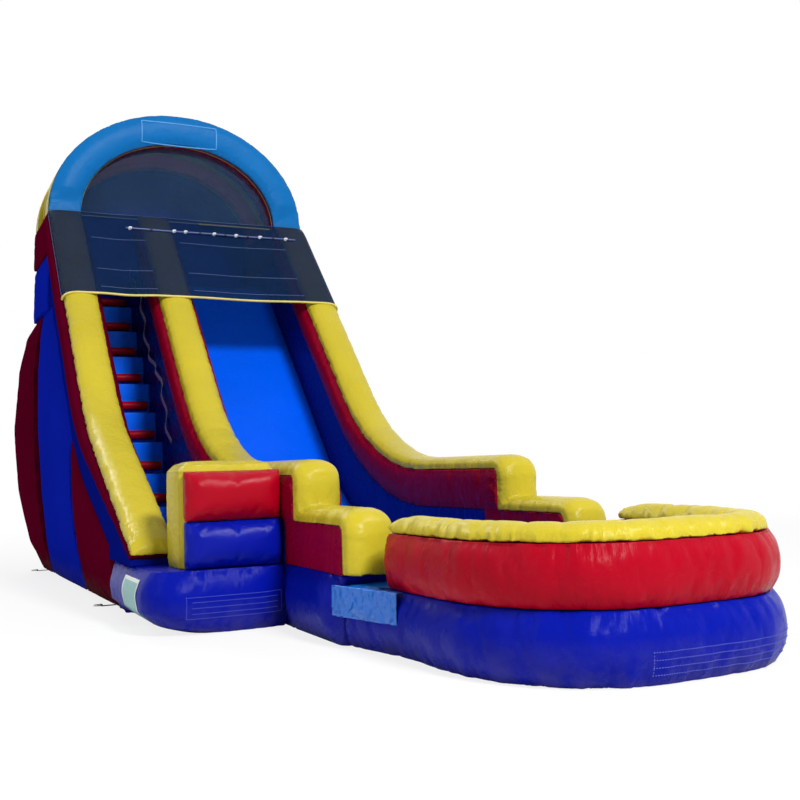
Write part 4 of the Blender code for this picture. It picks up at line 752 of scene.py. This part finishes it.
# %% [markdown]
# ## Lines that follow a path
# Piping, cords, stitches and zipper teeth all follow a line. Two Geometry Nodes trees make them:
# one sweeps a circle along a line, the other sets small shapes on it at an even pitch, each one
# turned along the line.
# %% Trees for tubes and for rows
def tree_of(name, inputs):
    """A new tree with named inputs: (name, socket type, default)."""
    tree = bpy.data.node_groups.new(name, "GeometryNodeTree")
    tree.interface.new_socket("Geometry", in_out="INPUT", socket_type="NodeSocketGeometry")
    tree.interface.new_socket("Geometry", in_out="OUTPUT", socket_type="NodeSocketGeometry")
    for label, kind, default in inputs:
        made = tree.interface.new_socket(label, in_out="INPUT", socket_type=kind)
        if default is not None:
            made.default_value = default
    start = tree.nodes.new("NodeGroupInput")
    end = tree.nodes.new("NodeGroupOutput")
    return tree, start, end


def chain(tree, first, *steps):
    """Joins steps of (node type, settings, {input: link or value}) one after another by geometry."""
    flow = first
    for kind, settings, given in steps:
        made = tree.nodes.new(kind)
        for key, setting in settings.items():
            setattr(made, key, setting)
        for key, value in given.items():
            if isinstance(value, bpy.types.NodeSocket):
                tree.links.new(value, made.inputs[key])
            else:
                made.inputs[key].default_value = value
        tree.links.new(flow, made.inputs[0])
        flow = made.outputs[0]
    return flow


CLOTH_INPUT = ("Cloth", "NodeSocketMaterial", None)
tube_tree, start, end = tree_of("tube_on_a_line", [("Radius", "NodeSocketFloat", 0.01), CLOTH_INPUT])
ring = tube_tree.nodes.new("GeometryNodeCurvePrimitiveCircle")
ring.inputs["Resolution"].default_value = 8
tube_tree.links.new(start.outputs["Radius"], ring.inputs["Radius"])
flow = chain(
    tube_tree, start.outputs["Geometry"], ("GeometryNodeMeshToCurve", {}, {}),
    ("GeometryNodeCurveToMesh", {}, {"Profile Curve": ring.outputs[0], "Fill Caps": True}),
    ("GeometryNodeRealizeInstances", {}, {}),
    ("GeometryNodeSetMaterial", {}, {"Material": start.outputs["Cloth"]}))
tube_tree.links.new(flow, end.inputs[0])

row_tree, start, end = tree_of("row_on_a_line", [
    ("Pitch", "NodeSocketFloat", 0.02), ("Size", "NodeSocketVector", (0.006, 0.001, 0.001)), CLOTH_INPUT])
bead = row_tree.nodes.new("GeometryNodeMeshIcoSphere")
bead.inputs["Radius"].default_value = 1.0
bead.inputs["Subdivisions"].default_value = 1
tangent = row_tree.nodes.new("GeometryNodeInputTangent")
facing = row_tree.nodes.new("FunctionNodeAlignRotationToVector")
facing.axis = "X"
row_tree.links.new(tangent.outputs[0], facing.inputs["Vector"])
flow = chain(
    row_tree, start.outputs["Geometry"], ("GeometryNodeMeshToCurve", {}, {}),
    ("GeometryNodeResampleCurve", {"mode": "LENGTH"}, {"Length": start.outputs["Pitch"]}),
    ("GeometryNodeInstanceOnPoints", {},
     {"Instance": bead.outputs[0], "Rotation": facing.outputs[0], "Scale": start.outputs["Size"]}),
    ("GeometryNodeRealizeInstances", {}, {}),
    ("GeometryNodeSetMaterial", {}, {"Material": start.outputs["Cloth"]}))
row_tree.links.new(flow, end.inputs[0])


def along(name, tree, lines, slot, material, body="slide", closed=False, **values):
    """Runs a tree on one or more lines of points and keeps the result as a plain mesh piece."""
    values["Cloth"] = material
    mesh = bpy.data.meshes.new(name)
    points, edges = [], []
    for line in lines:
        first = len(points)
        points += [tuple(p) for p in line]
        edges += [(first + i, first + i + 1) for i in range(len(line) - 1)]
        if closed:
            edges.append((first + len(line) - 1, first))
    mesh.from_pydata(points, edges, [])
    holder = placed(name, mesh)
    nodes_on = holder.modifiers.new("line", "NODES")
    nodes_on.node_group = tree
    for item in tree.interface.items_tree:
        if item.item_type == "SOCKET" and item.in_out == "INPUT" and item.name in values:
            nodes_on[item.identifier] = values[item.name]
    made = evaluated(holder)
    holder.modifiers.clear()
    holder.data = made
    made.shade_smooth()
    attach(holder, body)
    pieces[name] = holder
    return holder


def length_of(line):
    return sum((Vector(b) - Vector(a)).length for a, b in zip(line, line[1:]))


def half_ellipse(across, up, y, count=48):
    angles = [math.pi * i / count for i in range(count + 1)]
    return [(across * math.cos(a), y, SPRING_Z + up * math.sin(a)) for a in angles]

# %% [markdown]
# ## Small finishes
# Webbing, thread, netting, steel and hard plastic each have their own scale of detail. They share
# one helper: a base colour that varies, a grain, and a second pattern for the weave.
# %% Small finishes
def small_finish(name, colour, rough, metal=0.0, grain=90.0, bump=0.0006, weave=0.0, spread=0.2):
    """A plain material with a fine grain, and where weave is given the ribs of a webbing."""
    colour = linear(*colour)
    made = Finish(name)
    place = made.place()
    speck = made.noise(place, grain, 3.0)
    wear = made.noise(place, grain * 0.12, 4.0, 0.6)
    dark, light = shade(colour, 1.0 - spread), shade(colour, 1.0 + spread * 0.6)
    base = made.mix((wear * 1.5 - 0.25).clamp(), dark, light)
    normal = made.bump(speck, bump)
    if weave:
        ribs = made.bands("Z", place, weave, 0.4)
        rows = made.bands("Y", place, weave * 0.6)
        base = made.mix(ribs * 0.35, base, shade(colour, 0.45))
        normal = made.bump(ribs + rows * 0.5, 0.0008, normal)
    made.set(base_color=base, roughness=(wear * 0.25 + (rough - 0.12)).clamp(), normal=normal)
    made.shader.inputs["Metallic"].default_value = metal
    return made.made


PIPING = small_finish("yellow_piping", (206, 192, 96), 0.4, grain=40.0)
ARCH_PIPING = small_finish("olive_piping", (120, 128, 74), 0.5, grain=40.0)
NET_CORD = small_finish("net_cord", (66, 84, 132), 0.6, grain=200.0)
WELT = small_finish("pale_welt", (62, 142, 206), 0.4, grain=60.0)
OLD_PIPING = small_finish("grey_piping", (120, 130, 128), 0.5, grain=40.0)
THREAD = small_finish("pale_thread", (150, 176, 206), 0.7, grain=300.0)
BLUE_THREAD = small_finish("blue_thread", (78, 92, 196), 0.7, grain=300.0)
WEBBING = small_finish("grey_webbing", (186, 184, 204), 0.62, weave=55.0)
DARK_WEBBING = small_finish("dark_webbing", (26, 28, 40), 0.7, weave=70.0)
STEEL = small_finish("ring_steel", (172, 174, 178), 0.34, metal=1.0, grain=160.0, bump=0.0002)
NOZZLE = small_finish("white_nozzle", (235, 236, 240), 0.32, grain=120.0, bump=0.0002, spread=0.06)
HOSE = small_finish("hose_rubber", (66, 84, 136), 0.4, grain=120.0, bump=0.0003)
NET_CELLS_PER_M = 22.0


def net_finish(name, colour, cover):
    """Fine netting: threads in two directions with gaps that let the light through."""
    net = Finish(name)
    place = net.place()
    tone = net.mix(net.noise(place, 2.4, 3.0), shade(colour, 0.75), shade(colour, 1.25))
    threads = net.bands("X", place, NET_CELLS_PER_M).maths("MAXIMUM", net.bands("Z", place, NET_CELLS_PER_M))
    alpha = ((cover - 0.12) + threads * 0.2).clamp()
    net.set(base_color=tone, roughness=0.75, normal=net.bump(threads, 0.001), alpha=alpha)
    net.specular(0.03)
    return net.made


LANE_NETTING = net_finish("lane_netting", linear(14, 36, 66), 0.80)
ARCH_NETTING = net_finish("arch_netting", linear(44, 68, 96), 0.50)

# %% [markdown]
# ## Nets
# A fine net closes the arch, and a second one lies over the tops of the lanes. Their threads are
# too fine to build one by one, so each net is one sheet whose cloth lets light through, with the
# heavier cords and the yellow piping of its hem as real tubes.
# %% Net over the lanes
NET_TOP, LANE_NET_END = 0.035, 1.65
NET_LIFT, NET_SAG = 0.006, 0.014
NET_EDGE = HALF_WIDTH + 0.012
TAPER_AT, TAPER_SHARE = (0.0, 0.06, 0.14, 0.26), (0.08, 0.55, 0.85, 1.0)
CROWN_ROUND = 2.4
lanes = ((walls["left"][1], walls["middle"][0]), (walls["middle"][1], walls["right"][0]))


def crown_share(x):
    """Height share of the padded crown under a point across the tower; 1 stands for a free span."""
    for low, high in walls.values():
        if low <= x <= high:
            across = (2 * x - low - high) / (high - low)
            return max(0.0, 1.0 - abs(across) ** CROWN_ROUND) ** (1 / CROWN_ROUND)
    return 0.0 if abs(x) >= HALF_WIDTH else 1.0


def net_place(x, down):
    """A point of the lane net: it hugs the outer crowns and hangs a little between the walls."""
    taper = float(np.interp(down, TAPER_AT, TAPER_SHARE))
    outer = x < sum(walls["left"]) / 2 or x > sum(walls["right"]) / 2
    height = CROWN_H * (crown_share(x * HALF_WIDTH / NET_EDGE) if outer else 1.0) * taper
    for a, b in lanes:
        if a < x < b:
            height -= NET_SAG * math.sin(math.pi * (x - a) / (b - a)) ** 2 * taper
    height += NET_LIFT
    return (x, FRONT_Y - down * COS - SIN * height, SPRING_Z - down * SIN + COS * height)


def net_line(down, x0=-NET_EDGE, x1=NET_EDGE, count=90):
    """A line across the net; its points lie close together at the ends, where the crowns bend."""
    shares = [(1 - math.cos(math.pi * i / count)) / 2 for i in range(count + 1)]
    return [net_place(x0 + (x1 - x0) * share, down) for share in shares]


def grid_mesh(name, rows):
    count = len(rows[0])
    faces = [(r * count + c, r * count + c + 1, (r + 1) * count + c + 1, (r + 1) * count + c)
             for r in range(len(rows) - 1) for c in range(count - 1)]
    mesh = bpy.data.meshes.new(name)
    mesh.from_pydata([p for row in rows for p in row], [], faces)
    return mesh


DOWN_STEPS = 44
# The bends over the crowns take WRAP of the net's width; its cut fills CUT_SHARE of the flat size.
WRAP, CUT_SHARE = 0.12, 0.985
downs = [NET_TOP + (LANE_NET_END - NET_TOP) * i / DOWN_STEPS for i in range(DOWN_STEPS + 1)]
lane_mesh = grid_mesh("lane_netting", [net_line(d) for d in downs[::-1]])
lane_net = finished("lane_netting", lane_mesh, "lane_net", LANE_NETTING)
lane_area = area_of(lane_net)
hem = along("lane_net_hem", tube_tree, [net_line(LANE_NET_END)], "yellow", PIPING, Radius=0.013)
(a, b), (c, d) = lanes
spans = ((a + 0.03, b - 0.02), (c + 0.02, d - 0.03))
lines = [net_line(down, x0, x1, 30) for down in (0.63, 1.21, 1.53) for x0, x1 in spans]
cords = along("lane_net_cords", tube_tree, lines, "net_grey", NET_CORD, Radius=0.0032)
lines = [[net_place(x, down) for down in downs] for x in (-NET_EDGE, NET_EDGE)] + [net_line(NET_TOP)]
edges = along("lane_net_edges", tube_tree, lines, "net_grey", NET_CORD, Radius=0.004)
lane_width = 2 * NET_EDGE + WRAP
lane_length = lane_area / lane_width / CUT_SHARE
print("lane net area", round(lane_area, 3), "flat", round(lane_width, 3), round(lane_length, 3))

# %% Net in the arch
ARCH_NET_Y = FRONT_Y + 0.12
REACH = (ARCH_IN[0] - 0.012, ARCH_IN[1] - 0.012)
ARCH_COLUMNS, ARCH_ROWS, ARCH_BELLY, ARCH_FOOT = 56, 28, 0.03, 0.004
FOOT_SPLIT_X = 0.25


def arch_net_place(x, share):
    """A point of the arch's net, from its foot to the arch; the middle bellies backwards."""
    left = 1 - (x / REACH[0]) ** 2
    y = ARCH_NET_Y + ARCH_BELLY * math.sin(math.pi * share) * left
    return (x, y, SPRING_Z + ARCH_FOOT + share * (REACH[1] - ARCH_FOOT) * math.sqrt(max(0.0001, left)))


columns = [REACH[0] * math.sin(math.pi / 2 * (2 * i / ARCH_COLUMNS - 1)) for i in range(ARCH_COLUMNS + 1)]
rows = [[arch_net_place(x, r / ARCH_ROWS) for x in columns] for r in range(ARCH_ROWS + 1)]
arch_net = finished("arch_netting", grid_mesh("arch_netting", rows), "canopy_net", ARCH_NETTING)
for side, x0, x1, slot, cloth, thick in (("left", -REACH[0], FOOT_SPLIT_X, "net_grey", OLD_PIPING, 0.008),
                                         ("right", FOOT_SPLIT_X, REACH[0], "yellow", PIPING, 0.010)):
    line = [(x, ARCH_NET_Y, SPRING_Z + 0.006) for x in np.linspace(x0, x1, 30)]
    along("arch_net_foot_" + side, tube_tree, [line], slot, cloth, Radius=thick)
2 * REACH[0]

# %% Piping round the arch
for where, half_axes, off, ys, slot, cloth in (("outer", ARCH_OUT, -0.004, (0.060,), "yellow", ARCH_PIPING),
                                               ("inner", ARCH_IN, -0.003, (0.060,), "yellow", ARCH_PIPING),
                                               ("rear", ARCH_OUT, 0.001, (0.405, 0.995), "maroon", PIPING)):
    lines = [half_ellipse(half_axes[0] + off, half_axes[1] + off, FRONT_Y + y) for y in ys]
    along("arch_piping_" + where, tube_tree, lines, slot, cloth, Radius=0.006)

# %% [markdown]
# ## Spray hose and nozzles
# A stiff hose lies across the net and its nozzles wet the slide. It is a straight run with
# rubber ties, and each nozzle is a turned cone.
# %% Spray hose
HOSE_R, HOSE_WAVE = 0.011, 0.002
NOZZLES_X = (-0.696, -0.183, -0.048, 0.299, 0.57, 0.871, 1.202)
TIES_X = (-0.45, 0.13, 0.44, 0.72, 1.04)
LATHE_STEPS, SHARP_FITTING = 16, math.radians(35)
# Profiles are (run along the axis, radius): a socket, a collar and a spout; and a flat band.
nozzle_profile = [(-0.016, 0.016), (-0.012, 0.020), (0.012, 0.020), (0.016, 0.015),
                  (0.030, 0.013), (0.034, 0.008), (0.046, 0.007)]
tie_profile = [(-0.014, 0.0125), (-0.012, 0.0145), (0.012, 0.0145), (0.014, 0.0125)]
hose_low, hose_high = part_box("spray_hose")
hose_y, hose_z = (hose_low.y + hose_high.y) / 2, (hose_low.z + hose_high.z) / 2
hose_line = [(x, hose_y, hose_z + HOSE_WAVE * math.sin(7 * x)) for x in np.linspace(hose_low.x, hose_high.x, 40)]
hose = along("spray_hose_tube", tube_tree, [hose_line], "hose", HOSE, Radius=HOSE_R)
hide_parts("spray_hose")


def lathe(solid, profile, centre, axis):
    """Adds a turned shape: profile of (along, radius) about an axis through a point."""
    axis = Vector(axis).normalized()
    side = axis.orthogonal().normalized()
    other = axis.cross(side)
    rings = []
    for run, radius in profile:
        middle = Vector(centre) + axis * run
        rings.append([solid.verts.new(middle + (side * math.cos(a) + other * math.sin(a)) * radius)
                      for a in (2 * math.pi * i / LATHE_STEPS for i in range(LATHE_STEPS))])
    joined(solid, rings)


def joined(solid, rings):
    """Closes a row of rings of points into one skin."""
    count = len(rings[0])
    for low, high in zip(rings, rings[1:]):
        for i in range(count):
            solid.faces.new((low[i], low[(i + 1) % count], high[(i + 1) % count], high[i]))
    solid.faces.new(rings[0][::-1])
    solid.faces.new(rings[-1])


def outward_mesh(name, solid):
    """The mesh of a bmesh with its faces turned outwards; the bmesh goes."""
    bmesh.ops.recalc_face_normals(solid, faces=solid.faces)
    mesh = bpy.data.meshes.new(name)
    solid.to_mesh(mesh)
    solid.free()
    return mesh


def from_bmesh(name, solid, material, node=None, body="slide"):
    mesh = outward_mesh(name, solid)
    mesh.materials.append(material)
    mesh.shade_smooth()
    mesh.set_sharp_from_angle(angle=SHARP_FITTING)
    piece = placed(name, mesh)
    if node:
        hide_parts(node)
    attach(piece, body)
    pieces[name] = piece
    return piece


spout = Vector((0.0, -SIN, COS)) * 0.75 + Vector((0.25, -0.5, -0.4))
for name, places, profile, axis, slot, cloth in (
        ("spray_nozzles", NOZZLES_X, nozzle_profile, spout, "white", NOZZLE),
        ("spray_ties", TIES_X, tie_profile, (1, 0, 0), "black", DARK_WEBBING)):
    solid = bmesh.new()
    for x in places:
        lathe(solid, profile, (x, hose_y, hose_z), axis)
    from_bmesh(name, solid, cloth)

# %% [markdown]
# ## Climbing strap
# The strap beside the stairs is webbing, sewn to the middle wall at even spaces. Between the
# stitches it stands off as a hand loop, which gives the wavy line.
# %% Climbing strap
STRAP_TOP, STRAP_FOOT, STRAP_LOOPS = 0.06, 2.08, 8
STRAP_W, STRAP_T, STRAP_BOW = 0.05, 0.004, 0.035
STRAP_DEPTH, STRAP_SWING = 0.62, 0.08
STRAP_STEPS = STRAP_LOOPS * 14
STITCHES = {"Pitch": 0.005, "Size": (0.0018, 0.0005, 0.0005)}


def strap_point(share, across, lift):
    loop = math.pi * STRAP_LOOPS * share
    down = -STRAP_TOP + (STRAP_TOP - STRAP_FOOT) * share
    depth = STRAP_DEPTH + STRAP_SWING * math.cos(loop / 2) + STRAP_W * across
    x = walls["middle"][0] - 0.0008 - STRAP_BOW * math.sin(loop) ** 2 - lift
    return Vector((x, FRONT_Y + down + SIN * depth, SPRING_Z + TAN * down - COS * depth))


solid = bmesh.new()
section = [(-0.5, 0.0), (-0.5, STRAP_T), (-0.25, STRAP_T * 1.15),
           (0.25, STRAP_T * 1.15), (0.5, STRAP_T), (0.5, 0.0)]
joined(solid, [[solid.verts.new(strap_point(i / STRAP_STEPS, across, lift)) for across, lift in section]
               for i in range(STRAP_STEPS + 1)])
from_bmesh("climb_strap_webbing", solid, WEBBING, "climb_strap")
bars = []
for k in range(STRAP_LOOPS + 1):
    share = min(0.996, max(0.004, k / STRAP_LOOPS))
    for shift in (-0.003, 0.003):
        bars.append([strap_point(share + shift, across, STRAP_T * 1.2 + 0.0005)
                     for across in (-0.42, -0.2, 0.0, 0.2, 0.42)])
along("climb_strap_stitches", row_tree, bars, "white", THREAD, Pitch=0.005, Size=(0.0019, 0.0006, 0.0006))
strap_length = length_of([strap_point(i / 400, 0, 0) for i in range(401)])
print("strap", round(strap_length, 3), "m of webbing")

# %% [markdown]
# ## Thin cloths
# The cover on the exit sill, its flap, the zipper's flap and the sleeve are single layers of the
# same cloth. A copy of each solid is cut into small squares, and both of its sides get the same
# gentle crinkle, so it stays thin.
# %% Thin cloths
SHARP_CLOTH = math.radians(50)
CLOTH_BLUE = coated_cloth("cover_cloth", linear(0, 104, 206), rough=0.14, gloss=0.5, crinkle=0.02)


def cut_copy(node, cell):
    """A copy of a node's solid with its faces cut by evenly spaced planes."""
    solid = merged(node)
    low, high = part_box(node)
    for axis in range(3):
        count = int((high[axis] - low[axis]) / cell)
        for i in range(1, count):
            direction = Vector([float(k == axis) for k in range(3)])
            place = direction * (low[axis] + (high[axis] - low[axis]) * i / count)
            everything = solid.verts[:] + solid.edges[:] + solid.faces[:]
            bmesh.ops.bisect_plane(solid, geom=everything, plane_co=place, plane_no=direction)
    return solid


def crinkled(node, cell, depth, wave, direction, material, free=lambda p: 1.0, seed=0):
    """A crinkled copy of a thin cloth; free(point) says how far a point may go, from 0 to 1."""
    mesh = outward_mesh(node + "_cloth", cut_copy(node, cell))
    places = points_of(mesh)
    give = np.array([float(free(p)) for p in places])
    fold = lattice(places / wave, 70 + seed) * 0.6 + lattice(places / (wave * 0.4), 80 + seed) * 0.4
    fold = np.maximum(0.0, fold + 0.2)
    put_points(mesh, places + np.array(direction)[None, :] * (depth * give * fold)[:, None])
    keep_mark(mesh, "seam_near", np.full(len(places), 0.3))
    keep_mark(mesh, "seam_at", places)
    piece = finished(node + "_cloth", mesh, node, material)
    mesh.set_sharp_from_angle(angle=SHARP_CLOTH)
    return piece


def ramp(value, run):
    return np.clip(value / run, 0.0, 1.0)


flap_high, cloth_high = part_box("exit_flap")[1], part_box("exit_cloth")[1]
cover = crinkled("exit_cloth", 0.012, 0.010, 0.06, (0, 0, 1.0), CLOTH_BLUE,
                 lambda p: ramp(p[0] - flap_high.x + 0.10, 0.05) * ramp(cloth_high.x - p[0], 0.03))
flap = crinkled("exit_flap", 0.012, 0.012, 0.055, (-0.85, -0.5, 0.0), CLOTH_BLUE,
                lambda p: ramp(flap_high.z - 0.01 - p[2], 0.08))

# %% [markdown]
# ## Rear fittings
# On the rear wall there is a sleeve for the blower's air, a zipper that lets the air out, and the
# flap that covers it. The teeth are a row on a line.
# %% Rear fittings
SLEEVE_MOUTH_Y, FLAP_SEAM_Z, TOOTH_PITCH = FRONT_Y + 1.32, 0.235, 0.005
sleeve = crinkled("inflation_sleeve", 0.03, 0.012, 0.10, (0.2, 0.0, -0.6),
                  coated_cloth("sleeve_cloth", ROYAL, crinkle=0.012),
                  lambda p: ramp(p[1] - SLEEVE_MOUTH_Y, 0.2) * ramp(p[2] - 0.03, 0.1), seed=3)
zip_flap = crinkled("zipper_flap", 0.012, 0.002, 0.05, (0, 1.0, 0),
                    coated_cloth("zip_flap_cloth", ROYAL, crinkle=0.006),
                    lambda p: ramp(FLAP_SEAM_Z - p[2], 0.05), seed=5)
tape = crinkled("zipper_tape", 0.0125, 0.0, 0.05, (0, 1.0, 0), DARK_WEBBING)
tape_low, tape_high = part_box("zipper_tape")
middle_z = (tape_low.z + tape_high.z) / 2
teeth = [[(x + shift, tape_high.y + 0.0002, middle_z + dz) for x in (tape_low.x + 0.01, tape_high.x - 0.01)]
         for shift, dz in ((0.0, -0.0022), (TOOTH_PITCH / 2, 0.0022))]
along("zipper_teeth", row_tree, teeth, "steel", STEEL, Pitch=TOOTH_PITCH, Size=(0.0011, 0.0009, 0.0030))

slider_low, slider_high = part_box("zipper_slider")
solid = cut_copy("zipper_slider", 0.004)
bmesh.ops.smooth_vert(solid, verts=solid.verts[:], factor=0.5,
                      use_axis_x=True, use_axis_y=True, use_axis_z=True)
pull_x, pull_y, pull_z = slider_low.x + 0.010, slider_high.y - 0.0005, (slider_low.z + slider_high.z) / 2
pull = [(pull_x - 0.022 * s, pull_y, pull_z + 0.006 * math.sin(2 * math.pi * s) * (1 - s))
        for s in np.linspace(0, 1, 12)]
slider_body = body_of["zipper_slider"]
from_bmesh("zipper_slider_body", solid, STEEL, "zipper_slider", slider_body)
along("zipper_pull", tube_tree, [pull], "steel", STEEL, slider_body, Radius=0.0014)

# %% [markdown]
# ## Ground anchors
# Each anchor is a webbing loop, sewn flat under the slide's foot, with a steel ring that turns in
# it. The ring is welded round wire with one straight side.
# %% Ground anchors
RING_WIRE, RING_HALF, RING_REACH = 0.005, 0.035, 0.06
RING_ROOM = 0.0002
STITCH_Z, STITCH_NEAR, STITCH_FAR = 0.0046, 0.02, 0.09
for side, out in (("left", -1.0), ("right", 1.0)):
    for end in ("front", "rear"):
        label = f"{side}_{end}"
        ring_body = body_of[label + "_ring"]
        low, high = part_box(label + "_ring")
        hinge_x = (high.x if side == "left" else low.x) + out * RING_WIRE
        middle_y, ring_z = (low.y + high.y) / 2, (low.z + high.z) / 2
        line = [(hinge_x, middle_y + RING_HALF * s, ring_z) for s in (-1.0, -0.5, 0.0, 0.5, 1.0)]
        for a in np.linspace(math.pi / 2, -math.pi / 2, 25)[1:-1]:
            bow = RING_WIRE + (RING_REACH - RING_ROOM) * math.cos(a)
            line.append((hinge_x + out * bow, middle_y + (RING_HALF + RING_WIRE) * math.sin(a), ring_z))
        ring_piece = along(label + "_ring_wire", tube_tree, [line], "steel", STEEL, ring_body, closed=True,
                           Radius=RING_WIRE - 0.0003)
        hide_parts(label + "_ring")
        solid = cut_copy(label + "_tab", 0.010)
        from_bmesh(label + "_tab_webbing", solid, DARK_WEBBING, label + "_tab")
        tab_low, tab_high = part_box(label + "_tab")
        sewn_x = tab_high.x if side == "left" else tab_low.x
        inner, outer = sewn_x + out * STITCH_NEAR, sewn_x + out * STITCH_FAR
        y0, y1 = tab_low.y + 0.005, tab_high.y - 0.005
        a, b, c, d = [(x, y, STITCH_Z) for x, y in ((inner, y0), (outer, y0), (outer, y1), (inner, y1))]
        along(label + "_tab_stitches", row_tree, [[a, b, c, d, a], [a, c], [d, b]], "white", THREAD, **STITCHES)

# %% [markdown]
# ## Sewn outlines and the bare patch
# Three fields on the slide are outlined with thread: pale on top of the arch, blue on the entry base
# and on the pool's base. Their lines are dropped onto the swollen skins. The patch at the corner
# of the entry base is plain, with a white border.
# %% Sewn outlines
FIELD_PITCH, FIELD_STITCH, FIELD_THICK = 0.016, 0.0062, 0.0028
ARCH_THICK, WELT_R = 0.0035, 0.009
CAST = 4.0


def skin_tree(node):
    mesh = pieces[node].data
    return BVHTree.FromPolygons([v.co.copy() for v in mesh.vertices], [tuple(f.vertices) for f in mesh.polygons])


def laid_on(node, lines, direction_of, lift):
    """Drops the points of lines onto a chamber's skin; points that miss are left out."""
    tree = skin_tree(node)
    laid = []
    for line in lines:
        hits = []
        for point in line:
            direction = direction_of(point)
            hit = tree.ray_cast(Vector(point), direction, CAST)
            if hit[0] is not None:
                hits.append(hit[0] - direction * lift)
        if len(hits) > 2:
            laid.append(hits)
    return laid


def backwards(point):
    return Vector((0, 1, 0))


def sewn(name, laid, cloth, thick=FIELD_THICK):
    along(name, row_tree, laid, "white", cloth, Pitch=FIELD_PITCH, Size=(FIELD_STITCH, thick, thick))
    print(name, [len(line) for line in laid])


def border(a, b, c, d, steps):
    """Points round a four-cornered field."""
    line = []
    for p, q in ((a, b), (b, c), (c, d), (d, a)):
        line += [tuple(np.array(p) + (np.array(q) - np.array(p)) * i / steps) for i in range(steps)]
    return line + [a]


def level_field(x0, x1, y, z0, z1, steps):
    return border((x0, y, z1), (x1, y, z1), (x1, y, z0), (x0, y, z0), steps)


# Each field starts in front of its skin and is dropped backwards onto it.
arch_border = level_field(-0.47, 0.445, FRONT_Y - 0.56, 5.125, 5.385, 40)
arch_lines = laid_on("arch_face", [arch_border], backwards, 0.0012)
sewn("arch_field_stitches", arch_lines, THREAD, ARCH_THICK)
along("arch_field_welt", tube_tree, arch_lines, "sky", WELT, Radius=WELT_R)
entry_y = FRONT_Y - 5.7
entry_lines = [level_field(-1.295, -0.58, entry_y, 0.12, 0.27, 30)]
entry_lines += [[(x, entry_y, z) for x in np.linspace(-1.25, -0.62, 30)] for z in (0.155, 0.195, 0.235)]
sewn("entry_field_stitches", laid_on("entry_base", entry_lines, backwards, 0.0012), BLUE_THREAD)

# The field on the pool's base runs round its front right corner.
POOL_FROM, POOL_TO, POOL_LOW, POOL_HIGH, POOL_CAST = math.radians(-106), math.radians(-18), 0.06, 0.18, 3
pool_low, pool_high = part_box("pool_base")
centre_x, centre_y = (pool_low.x + pool_high.x) / 2, pool_high.y - 1.0


def beside_pool(turn, z):
    return (centre_x + POOL_CAST * math.cos(turn), centre_y + POOL_CAST * math.sin(turn), z)


def inwards(point):
    return (Vector((centre_x, centre_y, point[2])) - Vector(point)).normalized()


pool_lines = [[beside_pool(turn, z) for turn in np.linspace(POOL_FROM, POOL_TO, 110)]
              for z in (POOL_LOW, 0.10, 0.14, POOL_HIGH)]
pool_lines += [[beside_pool(turn, z) for z in np.linspace(POOL_LOW, POOL_HIGH, 8)]
               for turn in (POOL_FROM, POOL_TO)]
sewn("pool_field_stitches", laid_on("pool_base", pool_lines, inwards, 0.0015), BLUE_THREAD)

# %% Bare patch
patch_low, patch_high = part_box("label_patch")
EDGE_SHARP, EDGE_WIDE, PATCH_LIFT = 400, 10.0, 0.004
TEAL, PALE_TEAL = linear(58, 146, 146), linear(126, 188, 184)
BORDER, WORN = linear(226, 232, 232), linear(170, 172, 172)
patch_cloth = Finish("patch_cloth")
place = patch_cloth.place()
inside = None
for axis, low, high in ((1, patch_low.y, patch_high.y), (2, patch_low.z, patch_high.z)):
    at = patch_cloth.split(place, axis)
    edge = ((at - low) * EDGE_SHARP - EDGE_WIDE).clamp() * ((high - at) * EDGE_SHARP - EDGE_WIDE).clamp()
    inside = edge if inside is None else inside * edge
wash = patch_cloth.noise(place, 26.0, 4.0, 0.6)
field = patch_cloth.mix((wash * 1.8 - 0.5).clamp(), TEAL, PALE_TEAL)
speck = patch_cloth.noise(place, 150.0, 3.0)
scuff = (patch_cloth.noise(place, 12.0, 5.0, 0.7) * 2.0 - 1.1).clamp() * 0.5
base = patch_cloth.mix(inside * 0.85, patch_cloth.mix(scuff, BORDER, WORN), field)
normal = patch_cloth.bump(speck, 0.0005, patch_cloth.bump(wash, 0.004))
patch_cloth.set(base_color=base, roughness=(wash * 0.2 + 0.3).clamp(), normal=normal)
base_tree = skin_tree("entry_base")
rows = []
for z in np.linspace(patch_low.z, patch_high.z, 22):
    row = []
    for y in np.linspace(patch_high.y, patch_low.y, 30):
        hit = base_tree.ray_cast(Vector((-3.0, y, z)), Vector((1, 0, 0)), 3.0)
        row.append((hit[0].x - PATCH_LIFT, y, z))
    rows.append(row)
patch_mesh = grid_mesh("label_patch_cloth", rows)
patch = finished("label_patch_cloth", patch_mesh, "label_patch", patch_cloth.made)

# %% Pool floor
FLOOR_TOP = 0.045
floor_cloth = crinkled("pool_floor", 0.04, 0.010, 0.14, (0, 0, 1.0),
                       coated_cloth("pool_floor_cloth", BED_BLUE, crinkle=0.01),
                       lambda p: ramp(p[2] - FLOOR_TOP, 0.005), seed=9)
